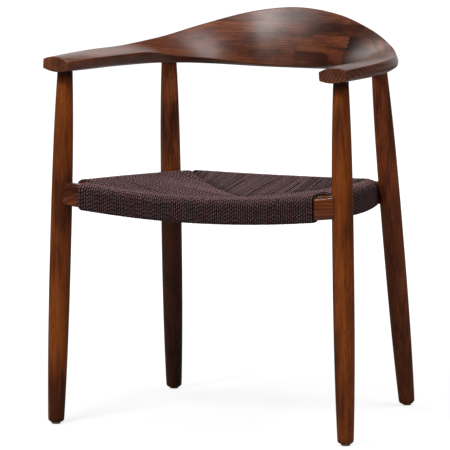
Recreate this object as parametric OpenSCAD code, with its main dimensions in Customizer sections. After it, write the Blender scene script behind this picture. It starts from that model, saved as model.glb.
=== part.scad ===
/* [Arms and backrest] */
// Distance between the middles of the two arm tips
arm_spread = 554; // [520:2:600]
// Distance from the arm tips back to the middle of the backrest
arm_reach = 497; // [460:1:530]
// Height of the middle of an arm's tip above the floor
arm_height = 683; // [640:1:720]
// Height of the middle of the backrest above the middle of an arm's tip
back_rise = 20; // [5:1:45]
// Width of an arm at its tip
tip_w = 54; // [44:1:64]
// Width of an arm over the front leg
arm_w = 69; // [60:1:78]
// Width of the rail where it turns into the backrest
turn_w = 63; // [56:1:72]
// Height of the backrest along its slope
back_w = 120; // [100:1:140]
// Lean of the backrest's middle from level
back_tilt = 68; // [60:1:76]
// Thickness of an arm's edges
arm_edge = 18; // [15:0.5:21]
// Thickness of the backrest's edges
back_edge = 13; // [11:0.5:16]
// Rise of the top face over an arm's tip
tip_crown = 7; // [4:0.5:9]
// Swell of the rail's underside
under_crown = 9; // [6:0.5:11]
// Chamfer along the rail's four edges
edge_ease = 2; // [1:0.25:3]
// Thickness of the boards that the rail is glued up from
board_t = 21.5; // [20:0.5:26]
// Height of the glue line under the backrest's own boards above the middle of an arm's tip
glue_rise = 28; // [24:0.5:32]
// Distance from the middle to the upper finger joint
finger_x = 129; // [100:1:145]
// Distance from the middle to the lower finger joint
low_finger_x = 9; // [0:1:60]
// Number of fingers in a joint
fingers = 3; // [2:1:5]
// Length of the fingers
finger_len = 6; // [4:0.5:10]
// Glue gap between two boards
board_gap = 0.1; // [0.05:0.05:0.2]

/* [Legs] */
// Distance between the middles of the front feet
front_foot_spread = 587; // [560:1:620]
// Distance between the middles of the rear feet
rear_foot_spread = 492; // [460:1:530]
// Distance from the front feet to the rear feet
foot_depth = 448; // [420:1:480]
// Distance from an arm's tip back to the front foot
tip_overhang = 29; // [15:1:40]
// Radius of a leg where it is thickest
leg_r = 20; // [18:0.2:23]
// Radius of a leg under the arm
leg_top_r = 14.4; // [13:0.1:17]
// Radius of a leg at the floor
leg_foot_r = 15; // [13:0.1:17]
// Height at which a leg is thickest
leg_belly_z = 340; // [300:5:380]
// Distance from an arm's middle line out to the middle of the front leg under it
leg_out = 1.6; // [0:0.2:4]
// Chamfer round the foot
foot_ease = 3.5; // [2:0.5:5]
// Radius of the round tenon on top of a leg
leg_tenon_r = 9; // [7:0.5:10]
// Reach of the round tenon past the middle of the arm
tenon_over = 2; // [0:0.5:4]
// Gap round a leg's tenon and under the arm
leg_gap = 0.3; // [0.2:0.05:0.4]

/* [Glides] */
// Radius of a glide
glide_r = 8.5; // [7:0.5:10]
// Thickness of a glide
glide_t = 4; // [3:0.5:6]
// Radius of a glide's nail
nail_r = 1.4; // [1:0.1:2]
// Length of the nail in the leg
nail_len = 16; // [10:1:25]
// Radius of the nail's head
nail_head_r = 3.4; // [2.6:0.1:4.5]
// Thickness of the nail's head
nail_head_t = 1.2; // [0.8:0.1:1.8]
// Gap round the nail
nail_gap = 0.2; // [0.1:0.05:0.3]

/* [Seat frame] */
// Thickness of the four seat rails
rail_t = 20; // [18:0.5:22]
// Height of the four seat rails at their ends
rail_h = 38; // [34:0.5:42]
// Radius along the front and rear rails' outer upper edge
rail_edge_r = 3; // [2:0.5:6]
// Radius along the side rails' outer upper edge
side_edge_r = 13; // [4:0.5:13]
// Radius along the four rails' inner upper edge
rail_in_r = 4; // [3:0.5:6]
// Radius along the front and rear rails' upper outer edges in the middle
end_middle_r = 10; // [2:0.5:13]
// Radius along the four rails' lower edges
rail_low_r = 3; // [2:0.5:6]
// Height of the front rail's top at the legs
front_rail_top = 458; // [430:1:480]
// Height of the rear rail's top at the legs
rear_rail_top = 439.5; // [415:0.5:460]
// Distance from a leg's middle out to the middle of the front or rear rail
rail_offset = 8.5; // [6:0.5:10]
// Height of the rear rail at the legs
rear_rail_h = 43; // [38:0.5:48]
// Rise of the front rail's top towards the legs
front_end_rise = 4.5; // [0:0.5:6]
// Distance from a leg's middle back to the end of the front or rear rail's face
rail_end_back = 9.5; // [8:0.5:12]
// Dip of the front rail's top in the middle
front_dip = 15; // [0:0.5:25]
// Dip of the rear rail's top in the middle
rear_dip = 2.5; // [0:0.5:10]
// Dip of the front rail's lower edge in the middle
front_belly = 18; // [0:0.5:28]
// Bow of the front and rear rails, seen from above
end_bow = 8; // [0:0.5:14]
// Bow of the side rails, seen from above
side_bow = 10; // [0:0.5:10]
// Belly of the side rails' lower edge
side_belly = 5.5; // [0:0.5:8]
// Belly of the rear rail's lower edge
rear_belly = 3; // [0:0.5:8]
// Extra height of the side rails at the rear rail, below
side_rear_extra = 4; // [0:0.5:8]
// Height of the side rails' tops above the front rail's, where they join it
side_front_rise = 3.5; // [0:0.5:5]
// Height of the side rails' tops above the rear rail's, where they join it
side_rear_rise = -1; // [-3:0.5:5]
// Distance between the middles of the side rails at the front rail
side_front_spread = 488; // [460:1:500]
// Distance between the middles of the side rails at the rear rail
side_rear_spread = 380; // [360:1:380]
// Thickness of the rails' tenons
tenon_t = 8; // [6:0.5:10]
// Shoulder above and below a tenon
tenon_shoulder = 7; // [5:0.5:10]
// Length of the front and rear rails' tenons past a leg's middle
tenon_past = 8; // [4:0.5:12]
// Depth of the side rails' tenons
side_tenon_len = 12; // [8:0.5:15]
// Glue gap round tenons and shoulders
glue_gap = 0.2; // [0.1:0.05:0.3]

/* [Woven seat] */
// Diameter of the cord
cord_d = 4; // [3:0.25:5]
// Height of the woven top in the middle of the seat
seat_middle_z = 423; // [405:1:440]
// Distance from the front corners of the weave back to where its four seams meet
seam_depth = 188; // [150:1:220]
// Height of the woven underside in the middle of the seat
under_middle_z = 404; // [388:1:412]
// Thickness of the stuffing cards under the woven top
card_t = 6; // [3:0.5:8]
// Distance from the stuffing cards to the seams
card_margin = 8; // [5:1:14]
// Gap between the cord and what it goes round
cord_gap = 0.3; // [0.2:0.05:0.5]

/* [Hidden] */
$fn = 40;
small_fn = 20;
big = 2000;
arm_brown = "#4a2c20";
leg_brown = "#6e3b1c";
cord_brown = "#40302f";
card_grey = "#9a8f80";
glide_grey = "#8d8570";
nail_grey = "#a0a0a0";

// The rail that makes the arms and the backrest runs through eight sections on each side, from an
// arm's tip at 0 to the middle of the backrest at 7, and comes back mirrored from 7 to 14.
last = 7;
// Shares of half the spread and of the reach at which the sections stand
across = [1, 0.982, 0.965, 0.912, 0.80, 0.586, 0.30, 0];
along = [0, 0.196, 0.412, 0.612, 0.766, 0.889, 0.975, 1];
// Height of each section's middle above a tip's, as a share of the backrest's rise
lift = [0, 0, -0.1, -0.2, -0.08, 0.36, 0.8, 1];
// Share of the backrest's lean that each section has
lean = [0.06, 0.05, 0.09, 0.15, 0.45, 0.73, 0.93, 1];
// Widths, the last ones growing from the turn to the backrest
width = [tip_w, arm_w, arm_w, turn_w, turn_w, turn_w + (back_w - turn_w) * 0.38,
    turn_w + (back_w - turn_w) * 0.83, back_w];
// Thickness of the outer and of the inner edge
outer_edge = [arm_edge - 1, arm_edge, arm_edge + 1, arm_edge + 2, arm_edge - 1, arm_edge - 2,
    back_edge + 1, back_edge + 0.5];
inner_edge = [arm_edge - 2, arm_edge - 1, arm_edge, arm_edge + 2, arm_edge, arm_edge - 2,
    back_edge - 0.5, back_edge - 1];
// Rise of the upper face, which turns hollow in the backrest, and swell of the lower face
over = tip_crown * [1, 0.63, 0.3, 0.08, 0, -0.12, -0.13, -0.12];
under = under_crown * [0.6, 0.97, 1.05, 1.05, 1.08, 0.9, 0.72, 0.68];
// Places on the rail over the front and the rear legs
front_seat = 0.43;
rear_seat = 4.1;
// Rings of the rail between two sections, and points across one face
ring_steps = 5;
face_n = 7;
end_ring = 2 * last * ring_steps;
// Rings from which the left arm's tongue and the backrest's boards run, and to which the right arm does
tongue_ring = 26;
back_ring = 20;
arm_end_ring = 36;
tip_step = edge_ease / (along[1] * arm_reach);
// Sinking of a nail's head in its glide
nail_sink = 0.6;

// Steps across a woven panel and round a rail's corner, and along a panel from corner to middle
web_n = 4;
corner_n = 4;
web_steps = 8;
// First steps from the corners at which the cards reach, and their distance from the rails
card_steps = 6;
card_inset = 3;
card_gap = 0.9;
// Cords of the front and rear panels past the corners of the weave
wrap_past = 3;
// Share of a rail's half thickness over which the cord lies flat on it, on the seat's side
crest = 0.85;
// Powers with which the bowed rails dip, the panels fall to the seams and the seams to the middle
dip_power = 1.3;
web_power = 1.3;
seam_power = 3.4;
// Sinking of the weave's corners below the cords on the side rails
corner_sink = 2;
// Slack of the last cords in the corners, and of two panels at a seam
corner_slack = 0.2;
seam_gap = 0.15;

function mix(a, b, t) = a + (b - a) * t;
function far(v, k, odd) = k < 0 ? 2 * v[0] - v[1]
    : k <= last ? v[k]
    : k <= 2 * last ? (odd ? -1 : 1) * v[2 * last - k]
    : (odd ? -1 : 1) * (2 * v[0] - v[1]);
// Smooth curve through a row of section values at place s
function smooth(v, s, odd = false) =
    let (k = min(floor(s), 2 * last - 1), t = s - k,
        a = far(v, k - 1, odd), b = far(v, k, odd), c = far(v, k + 1, odd), d = far(v, k + 2, odd))
    0.5 * (2 * b + (c - a) * t + (2 * a - 5 * b + 4 * c - d) * t * t + (3 * b - a - 3 * c + d) * pow(t, 3));
function middle(s) = [
    smooth(across, s, true) * arm_spread / 2,
    smooth(along, s) * arm_reach - tip_overhang,
    arm_height + smooth(lift, s) * back_rise];
function heading(s) =
    let (a = middle(max(s - 0.05, 0)), b = middle(min(s + 0.05, 2 * last)), d = [b[0] - a[0], b[1] - a[1]])
    d / norm(d);

// Half thickness of a section at u, from -1 at the inner edge to 1 at the outer edge
function half_t(s, u, crown) =
    mix(smooth(inner_edge, s), smooth(outer_edge, s), (u + 1) / 2) / 2 + smooth(crown, s) * (1 - u * u);
// One closed section in its own plane: over the top from the inner to the outer edge and back below
function section(s, inset) =
    let (w = smooth(width, s) / 2 - inset, e = 1 - edge_ease / w,
        steps = [for (i = [0:face_n - 1]) -e + 2 * e * i / (face_n - 1)],
        top = [for (u = steps) [u * w, half_t(s, u, over) - inset]],
        low = [for (u = steps) [-u * w, inset - half_t(s, -u, under)]],
        inner = smooth(inner_edge, s) / 2 - edge_ease - inset,
        outer = smooth(outer_edge, s) / 2 - edge_ease - inset)
    concat([[-w, -inner], [-w, inner]], top, [[w, outer], [w, -outer]], low);
// A section's points in space, its outer edge turned up by the lean
function ring(s, inset = 0) =
    let (m = middle(s), h = heading(s), turn = smooth(lean, s) * back_tilt)
    [for (p = section(s, inset))
        let (n = p[0] * cos(turn) - p[1] * sin(turn))
        [m[0] + n * h[1], m[1] - n * h[0], m[2] + p[0] * sin(turn) + p[1] * cos(turn)]];
// Shift that brings the middle of the outline over the origin
tips_y = min([for (p = ring(0)) p[1]]);
back_y = max([for (p = ring(last)) p[1]]);
shift = -(tips_y + back_y) / 2;

// Legs: foot and upper end of the axis, and radius at height z
front_foot = [front_foot_spread / 2, 0, 0];
rear_foot = [rear_foot_spread / 2, foot_depth, 0];
front_top = middle(front_seat) + [leg_out, 0, 0];
rear_top = middle(rear_seat);
leg_steps = 5;
top_taper = 2.6;
foot_taper = 2.5;
function leg_radius(z) =
    z > leg_belly_z
    ? mix(leg_r, leg_top_r, pow(min((z - leg_belly_z) / (arm_height - leg_belly_z - under_crown * 2), 1), top_taper))
    : mix(leg_r, leg_foot_r, pow((leg_belly_z - z) / leg_belly_z, foot_taper));
// Point on a leg's axis at height z
function leg_at(foot, top, z) = mix(foot, top, z / top[2]);

// Seat rails, seen from above: middle lines along x for the front and rear, along y for the sides
front_leg_mid = leg_at(front_foot, front_top, front_rail_top - rail_h / 2);
rear_leg_mid = leg_at(rear_foot, rear_top, rear_rail_top - rear_rail_h / 2);
front_y = front_leg_mid[1] - rail_offset;
rear_y = rear_leg_mid[1] + rail_offset;
half_t_rail = rail_t / 2;
function hump(a, half) = 1 - pow(min(abs(a) / half, 1), 2);
// Middle, top, lower edge and outer upper radius of each rail at a place along it
function front_line(x) =
    let (f = hump(x, front_leg_mid[0]))
    [front_y - end_bow * f,
        front_rail_top + front_end_rise * pow(1 - f, 2) - front_dip * pow(f, dip_power),
        front_rail_top - rail_h - front_belly * f, mix(rail_edge_r, end_middle_r, f)];
function rear_line(x) =
    let (f = hump(x, rear_leg_mid[0]))
    [rear_y + end_bow / 2 * f, rear_rail_top - rear_dip * f,
        rear_rail_top - rear_rail_h - rear_belly * f, mix(rail_edge_r, end_middle_r, f)];
function side_line(y) =
    let (t = (y - front_y) / (rear_y - front_y), f = 4 * t * (1 - t),
        top = mix(front_rail_top + side_front_rise, rear_rail_top + side_rear_rise, t))
    [mix(side_front_spread, side_rear_spread, t) / 2 + side_bow * f, top,
        top - rail_h - side_belly * f - side_rear_extra * t, side_edge_r];

// Quarter circle of a loop, from an angle on
function corner(c, r, from) =
    [for (i = [0:corner_n]) let (an = from + 90 * i / corner_n) [c[0] + r * cos(an), c[1] + r * sin(an)]];
// Outer side of a loop round a rail, which is q away from the rail's middle, towards the seat
function loop_out(line, grow) =
    concat(corner([line[3] - half_t_rail, line[1] - line[3]], line[3] + grow, 90),
        corner([rail_low_r - half_t_rail, line[2] + rail_low_r], rail_low_r + grow, 180));
function rail_loop(line, grow) =
    concat(loop_out(line, grow),
        corner([half_t_rail - rail_low_r, line[2] + rail_low_r], rail_low_r + grow, 270),
        corner([half_t_rail - rail_in_r, line[1] - rail_in_r], rail_in_r + grow, 0));

// Corners of the weave, on the middle line of the seat's right half
wrap = cord_gap + cord_d;
front_corner_y = front_line(side_front_spread / 2 - rail_t)[0] + half_t_rail + wrap + corner_slack;
rear_corner_y = rear_line(side_rear_spread / 2 - rail_t)[0] - half_t_rail - wrap - corner_slack;
front_corner_x = side_line(front_corner_y)[0] - half_t_rail - wrap - corner_slack;
rear_corner_x = side_line(rear_corner_y)[0] - half_t_rail - wrap - corner_slack;
seam_y = front_corner_y + seam_depth;
front_corner_z = side_line(front_corner_y)[1] + wrap - corner_sink;
rear_corner_z = side_line(rear_corner_y)[1] + wrap - corner_sink;
front_under_z = front_line(front_corner_x)[2] - wrap;
rear_under_z = rear_line(rear_corner_x)[2] - wrap;
// Height of the woven top and underside on a seam, t from a corner to the middle of the seat
function seam_top(z, t) = mix(seat_middle_z, z, pow(1 - t, seam_power));
function seam_low(z, t) = mix(z, under_middle_z, t);

// Distance of a panel's wall at the seam from the rail's middle, which leaves the rail its room
function wall_q(seam, grow) = max(seam - wrap + grow, half_t_rail + cord_gap);
// Point of a panel's upper face at s, from 0 at the seam to 1 over the rail
function upper(line, seam, top_z, grow, s) =
    [mix(wall_q(seam, grow), crest * half_t_rail, s),
        mix(top_z - wrap + grow, line[1] + grow, pow(s, web_power))];
// One section of a panel. It goes out over the top, round the rail's outer side and back below.
function web_loop(line, seam, top_z, low_z, grow) =
    concat([for (i = [0:web_n]) upper(line, seam, top_z, grow, i / web_n)],
        loop_out(line, grow),
        [for (i = [0:web_n - 1]) let (s = i / (web_n - 1))
            [mix(half_t_rail - rail_low_r, wall_q(seam, grow), s),
                mix(line[2] - grow, low_z + wrap - grow, s)]]);
function web_pair(line, seam, top_z, low_z) =
    concat(web_loop(line, seam, top_z, low_z, wrap), web_loop(line, seam, top_z, low_z, cord_gap));
// One section of the stuffing card under a panel's upper face
function card_loop(line, seam, top_z) =
    let (flat = seam - wrap - crest * half_t_rail, s0 = card_margin / flat,
        s1 = (seam - wrap - half_t_rail - card_inset) / flat,
        shares = concat([s0], [for (i = [1:web_n - 1]) i / web_n], [s1]),
        face = [for (s = shares) upper(line, seam, top_z, cord_gap - card_gap, s)], n = len(face))
    concat(face, [for (i = [n - 1:-1:0]) [face[i][0], face[i][1] - card_t]]);

// Stations of a panel along its rail: whole steps from a corner to the middle, or to the other corner
function seam_t(x, half) = 1 - min(abs(x) / half, 1);
function front_seam(x) =
    mix(front_corner_y, seam_y, seam_t(x, front_corner_x)) - seam_gap / 2 - front_line(x)[0];
function rear_seam(x) =
    rear_line(x)[0] - mix(rear_corner_y, seam_y, seam_t(x, rear_corner_x)) - seam_gap / 2;
function side_t(y) = max(0, y < seam_y ? (y - front_corner_y) / (seam_y - front_corner_y)
    : (rear_corner_y - y) / (rear_corner_y - seam_y));
// Past the corners, the side cords fill the room beside the last cords of the front and rear panels.
function side_seam(y) =
    side_line(y)[0] - (y < seam_y ? front_corner_x : rear_corner_x) * (1 - side_t(y)) - seam_gap / 2
    - (y <= front_corner_y || y >= rear_corner_y ? wrap_past + seam_gap : 0);
function side_top(y) = seam_top(y < seam_y ? front_corner_z : rear_corner_z, side_t(y));
function side_low(y) = seam_low(y < seam_y ? front_under_z : rear_under_z, side_t(y));
// Stations of the front or rear rail: its ends, the last cords, and those of the panel between
function end_places(half, end) = concat([-end, -half - wrap_past],
    [for (i = [-web_steps:web_steps]) half * i / web_steps], [half + wrap_past, end]);
middle_place = web_steps + 2;
function side_station(i) = i <= 0
    ? mix(front_corner_y + seam_gap, seam_y, 1 + i / web_steps)
    : mix(seam_y, rear_corner_y - seam_gap, i / web_steps);
side_reach = half_t_rail + wrap;
side_start = front_line(side_front_spread / 2 + side_reach)[0] + half_t_rail + cord_gap;
side_end = rear_line(side_rear_spread / 2 + side_reach)[0] - half_t_rail - cord_gap;
side_places = concat([side_start, front_corner_y],
    [for (i = [-web_steps:web_steps]) side_station(i)], [rear_corner_y, side_end]);

// Closes a row of rings, each with the same number of points, into one solid. From ring turn on, its
// facets lie the other way, so that the two halves of a rail mirror each other.
module skin(rings, turn = big) {
    n = len(rings[0]);
    m = len(rings);
    sides = [for (i = [0:m - 2], j = [0:n - 1], half = [0, 1])
        let (a = i * n + j, b = i * n + (j + 1) % n, c = a + n, d = b + n)
        i < turn ? (half == 0 ? [c, b, a] : [c, d, b]) : (half == 0 ? [d, b, a] : [c, d, a])];
    first = [for (j = [0:n - 1]) j];
    end = [for (j = [n - 1:-1:0]) (m - 1) * n + j];
    polyhedron(points = [for (r = rings, p = r) p], faces = concat([first, end], sides), convexity = 6);
}

// The same with a hollow: each ring has its inner loop after its outer one.
module tube(rings, turn = big) {
    n = len(rings[0]) / 2;
    m = len(rings);
    sides = [for (i = [0:m - 2], j = [0:n - 1], half = [0, 1])
        let (a = 2 * i * n + j, b = 2 * i * n + (j + 1) % n, c = a + 2 * n, d = b + 2 * n)
        i < turn ? (half == 0 ? [c, b, a] : [c, d, b]) : (half == 0 ? [d, b, a] : [c, d, a])];
    hollow = [for (f = sides) [f[2] + n, f[1] + n, f[0] + n]];
    ends = [for (i = [0, m - 1], j = [0:n - 1])
        let (a = 2 * i * n + j, b = 2 * i * n + (j + 1) % n)
        i == 0 ? [a, b, b + n, a + n] : [a + n, b + n, b, a]];
    polyhedron(points = [for (r = rings, p = r) p], faces = concat(sides, hollow, ends), convexity = 8);
}

// The sculpted rail from one ring to another. The two arm tips have a small chamfer.
module rail_form(from, to) {
    body = [for (i = [from:to])
        ring(i == 0 ? tip_step : i == end_ring ? 2 * last - tip_step : i / ring_steps)];
    skin(concat(from == 0 ? [ring(0, edge_ease)] : [], body,
        to == end_ring ? [ring(2 * last, edge_ease)] : []),
        last * ring_steps - from + (from == 0 ? 1 : 0));
}

module set_down() translate([0, shift, 0]) children();
module left() mirror([1, 0, 0]) children();

// Stands something upright on a leg's axis, from a place along it.
module on_leg(foot, top, from = 0) {
    v = top - foot;
    translate(foot) rotate([0, acos(v[2] / norm(v)), atan2(v[1], v[0])]) translate([0, 0, from]) children();
}

// Part of the rail around a leg's top, larger by the gap
module rail_at_leg(s) {
    i = floor(s * ring_steps);
    skin([for (k = [i - 2:i + 3]) ring(k / ring_steps, -leg_gap)]);
}

// Turned leg with a cone-shaped trim at the foot, seated under the rail
module leg_body(foot, top, s) {
    len = norm(top - foot);
    low = [for (i = [0:leg_steps]) let (z = leg_belly_z * i / leg_steps) [leg_radius(z), z]];
    high = [for (i = [1:leg_steps]) let (z = mix(leg_belly_z, len, i / leg_steps)) [leg_radius(z), z]];
    difference() {
        intersection() {
            on_leg(foot, top) rotate_extrude() polygon(concat([[0, 0]], low, high, [[0, len]]));
            translate(foot) rotate_extrude() polygon([[0, glide_t], [leg_foot_r - foot_ease, glide_t],
                [leg_foot_r - foot_ease + big, glide_t + big], [0, glide_t + big]]);
        }
        rail_at_leg(s);
    }
    on_leg(foot, top, len - rail_t * 2) cylinder(r = leg_tenon_r, h = rail_t * 2 + tenon_over);
}

// Bore for a leg's tenon
module leg_bore(foot, top) {
    len = norm(top - foot);
    on_leg(foot, top, len - rail_t * 2) cylinder(r = leg_tenon_r + leg_gap, h = rail_t * 2 + tenon_over + leg_gap);
}

// Cylinder that copes a seat rail's end to a leg
module leg_cope(foot, top, mid) {
    on_leg(foot, top, mid[2] - rail_h * 1.5)
        cylinder(r = leg_radius(mid[2]) + leg_gap, h = rail_h * 3);
}

// Tenon of the front or rear rail in the right leg, or its mortise with a gap
module end_tenon(mid, y, top, gap) {
    x = mid[0] - leg_r * 1.5;
    translate([x, y - tenon_t / 2 - gap, top - rail_h + tenon_shoulder - gap])
        cube([mid[0] - x + tenon_past + gap, tenon_t + 2 * gap, rail_h - 2 * tenon_shoulder + 2 * gap]);
}
module front_tenon(gap) end_tenon(front_leg_mid, front_y, front_rail_top, gap);
module rear_tenon(gap) end_tenon(rear_leg_mid, rear_y, rear_rail_top, gap);

module nail_hole(foot) {
    translate(foot) cylinder(r = nail_r + nail_gap, h = glide_t + nail_len + 1, $fn = small_fn);
}

module front_leg() {
    difference() {
        leg_body(front_foot, front_top, front_seat);
        front_tenon(glue_gap);
        nail_hole(front_foot);
    }
}

module rear_leg() {
    difference() {
        leg_body(rear_foot, rear_top, rear_seat);
        rear_tenon(glue_gap);
        nail_hole(rear_foot);
    }
}

module front_leg_right() color(leg_brown) set_down() front_leg();
module front_leg_left() color(leg_brown) set_down() left() front_leg();
module rear_leg_right() color(leg_brown) set_down() rear_leg();
module rear_leg_left() color(leg_brown) set_down() left() rear_leg();

// Heights of the glue lines from the top one down
glue_0 = arm_height + glue_rise + board_t;
glue_1 = arm_height + glue_rise;
glue_2 = glue_1 - board_t;
glue_3 = glue_2 - board_t;
// Finger joint's line, seen from the front
function fingers_line(x, low, high) =
    [for (i = [0:2 * fingers]) [x + (i % 2 == 0 ? -1 : 1) * finger_len / 2, mix(low, high, i / (2 * fingers))]];
finger_step = board_t / (2 * fingers);

// Upright cut through the whole depth of the chair
module seen(points) {
    translate([0, big / 2, 0]) rotate([90, 0, 0]) linear_extrude(height = big) polygon(points);
}

module arm_left() {
    color(arm_brown) set_down() difference() {
        intersection() {
            rail_form(tongue_ring, end_ring);
            seen(concat([[-big, 0], [low_finger_x - finger_len / 2, 0]],
                fingers_line(low_finger_x, glue_3, glue_2), fingers_line(finger_x, glue_2, glue_1),
                [[-big, glue_1]]));
        }
        left() leg_bore(front_foot, front_top);
        left() leg_bore(rear_foot, rear_top);
    }
}

module arm_right() {
    low = [for (p = fingers_line(low_finger_x, glue_3, glue_2)) [p[0] + board_gap, p[1]]];
    high = [for (p = fingers_line(finger_x, glue_2, glue_1)) [p[0] + board_gap, p[1]]];
    n = 2 * fingers;
    cut = mix(low[n], low[n - 1], board_gap / finger_step);
    color(arm_brown) set_down() difference() {
        intersection() {
            rail_form(0, arm_end_ring);
            seen(concat([[big, 0], [low[0][0], 0]], [for (i = [0:n - 1]) low[i]], [cut],
                [[high[0][0], glue_2 - board_gap]], high, [[big, glue_1]]));
        }
        leg_bore(front_foot, front_top);
        leg_bore(rear_foot, rear_top);
    }
}

module back_board_middle() {
    color(arm_brown) set_down() intersection() {
        rail_form(back_ring, end_ring - back_ring);
        seen([[-big, glue_1 + board_gap], [big, glue_1 + board_gap], [big, glue_0], [-big, glue_0]]);
    }
}

module back_board_top() {
    color(arm_brown) set_down() intersection() {
        rail_form(back_ring, end_ring - back_ring);
        seen([[-big, glue_0 + board_gap], [big, glue_0 + board_gap], [big, big], [-big, big]]);
    }
}

// Bars of the seat frame between two of their stations, larger by grow
front_places = end_places(front_corner_x, front_leg_mid[0] - rail_end_back);
rear_places = end_places(rear_corner_x, rear_leg_mid[0] - rail_end_back);
module front_bar(from, to, grow) {
    skin([for (i = [from:to]) let (x = front_places[i], line = front_line(x))
        [for (p = rail_loop(line, grow)) [x, line[0] + p[0], p[1]]]], middle_place - from);
}

module rear_bar(from, to, grow) {
    skin([for (i = [to:-1:from]) let (x = rear_places[i], line = rear_line(x))
        [for (p = rail_loop(line, grow)) [x, line[0] - p[0], p[1]]]], to - middle_place);
}

// Places where a side rail's middle line meets the front and the rear rail
side_front_x = side_line(front_y + half_t_rail)[0];
side_rear_x = side_line(rear_y - half_t_rail)[0];
side_front_y = front_line(side_front_x)[0] + half_t_rail;
side_rear_y = rear_line(side_rear_x)[0] - half_t_rail;
side_lip = 1;
// Stations from a rail's end that reach past the side rail
end_steps = 4;

module side_bar() {
    places = concat([side_front_y - side_lip], [for (i = [-web_steps:web_steps]) side_station(i)],
        [side_rear_y + side_lip]);
    skin([for (y = places) let (line = side_line(y))
        [for (p = rail_loop(line, 0)) [line[0] - p[0], y, p[1]]]]);
}

// Tenon of the right side rail in the front or rear rail, or its mortise with a gap
module side_tenon(x, y, way, gap) {
    low = side_line(y)[2] + tenon_shoulder;
    high = side_line(y)[1] - tenon_shoulder * 1.5;
    depth = side_tenon_len + gap;
    translate([x - tenon_t / 2 - gap, way < 0 ? y - depth : y - rail_t, low - gap])
        cube([tenon_t + 2 * gap, depth + rail_t, high - low + 2 * gap]);
}
module side_front_tenon(gap) side_tenon(side_front_x, side_front_y, -1, gap);
module side_rear_tenon(gap) side_tenon(side_rear_x, side_rear_y, 1, gap);

module front_rail() {
    color(leg_brown) set_down() difference() {
        union() {
            difference() {
                front_bar(0, 2 * middle_place, 0);
                leg_cope(front_foot, front_top, front_leg_mid);
                left() leg_cope(front_foot, front_top, front_leg_mid);
            }
            front_tenon(0);
            left() front_tenon(0);
        }
        side_front_tenon(glue_gap);
        left() side_front_tenon(glue_gap);
    }
}

module rear_rail() {
    color(leg_brown) set_down() difference() {
        union() {
            difference() {
                rear_bar(0, 2 * middle_place, 0);
                leg_cope(rear_foot, rear_top, rear_leg_mid);
                left() leg_cope(rear_foot, rear_top, rear_leg_mid);
            }
            rear_tenon(0);
            left() rear_tenon(0);
        }
        side_rear_tenon(glue_gap);
        left() side_rear_tenon(glue_gap);
    }
}

module side_rail() {
    difference() {
        side_bar();
        front_bar(2 * middle_place - end_steps, 2 * middle_place, leg_gap);
        rear_bar(2 * middle_place - end_steps, 2 * middle_place, leg_gap);
    }
    side_front_tenon(0);
    side_rear_tenon(0);
}

module side_rail_right() color(leg_brown) set_down() side_rail();
module side_rail_left() color(leg_brown) set_down() left() side_rail();

module weave_front() {
    color(cord_brown) set_down() tube([for (i = [1:2 * middle_place - 1])
        let (x = front_places[i], line = front_line(x), t = seam_t(x, front_corner_x))
        [for (p = web_pair(line, front_seam(x), seam_top(front_corner_z, t), seam_low(front_under_z, t)))
            [x, line[0] + p[0], p[1]]]], middle_place - 1);
}

module weave_rear() {
    color(cord_brown) set_down() tube([for (i = [2 * middle_place - 1:-1:1])
        let (x = rear_places[i], line = rear_line(x), t = seam_t(x, rear_corner_x))
        [for (p = web_pair(line, rear_seam(x), seam_top(rear_corner_z, t), seam_low(rear_under_z, t)))
            [x, line[0] - p[0], p[1]]]], middle_place - 1);
}

module weave_side() {
    tube([for (y = side_places)
        let (line = side_line(y))
        [for (p = web_pair(line, side_seam(y), side_top(y), side_low(y))) [line[0] - p[0], y, p[1]]]]);
}

module weave_right() color(cord_brown) set_down() weave_side();
module weave_left() color(cord_brown) set_down() left() weave_side();

module card_front() {
    color(card_grey) set_down() skin([for (i = [-card_steps:card_steps])
        let (x = front_corner_x * i / web_steps, line = front_line(x), t = seam_t(x, front_corner_x))
        [for (p = card_loop(line, front_seam(x), seam_top(front_corner_z, t))) [x, line[0] + p[0], p[1]]]]);
}

module card_rear() {
    color(card_grey) set_down() skin([for (i = [card_steps:-1:-card_steps])
        let (x = rear_corner_x * i / web_steps, line = rear_line(x), t = seam_t(x, rear_corner_x))
        [for (p = card_loop(line, rear_seam(x), seam_top(rear_corner_z, t))) [x, line[0] - p[0], p[1]]]]);
}

module card_side() {
    skin([for (i = [-card_steps:card_steps])
        let (y = side_station(i), line = side_line(y))
        [for (p = card_loop(line, side_seam(y), side_top(y))) [line[0] - p[0], y, p[1]]]]);
}

module card_right() color(card_grey) set_down() card_side();
module card_left() color(card_grey) set_down() left() card_side();

// Round glide with a sunk nail
head_z = nail_sink + nail_head_t;
module glide(foot) {
    hole = nail_r + nail_gap;
    sink = nail_head_r + nail_gap;
    color(glide_grey) set_down() translate(foot) rotate_extrude($fn = small_fn) polygon([[sink, 0], [glide_r - 1, 0],
        [glide_r, 1], [glide_r, glide_t], [hole, glide_t], [hole, head_z], [sink, head_z]]);
}

module nail(foot) {
    tip = glide_t + nail_len;
    color(nail_grey) set_down() translate(foot) rotate_extrude($fn = small_fn) polygon([[0, nail_sink],
        [nail_head_r, nail_sink], [nail_head_r, head_z], [nail_r, head_z], [nail_r, tip - nail_r * 2],
        [0, tip]]);
}

function flip(p) = [-p[0], p[1], p[2]];
module glide_front_right() glide(front_foot);
module glide_front_left() glide(flip(front_foot));
module glide_rear_right() glide(rear_foot);
module glide_rear_left() glide(flip(rear_foot));
module nail_front_right() nail(front_foot);
module nail_front_left() nail(flip(front_foot));
module nail_rear_right() nail(rear_foot);
module nail_rear_left() nail(flip(rear_foot));

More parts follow.
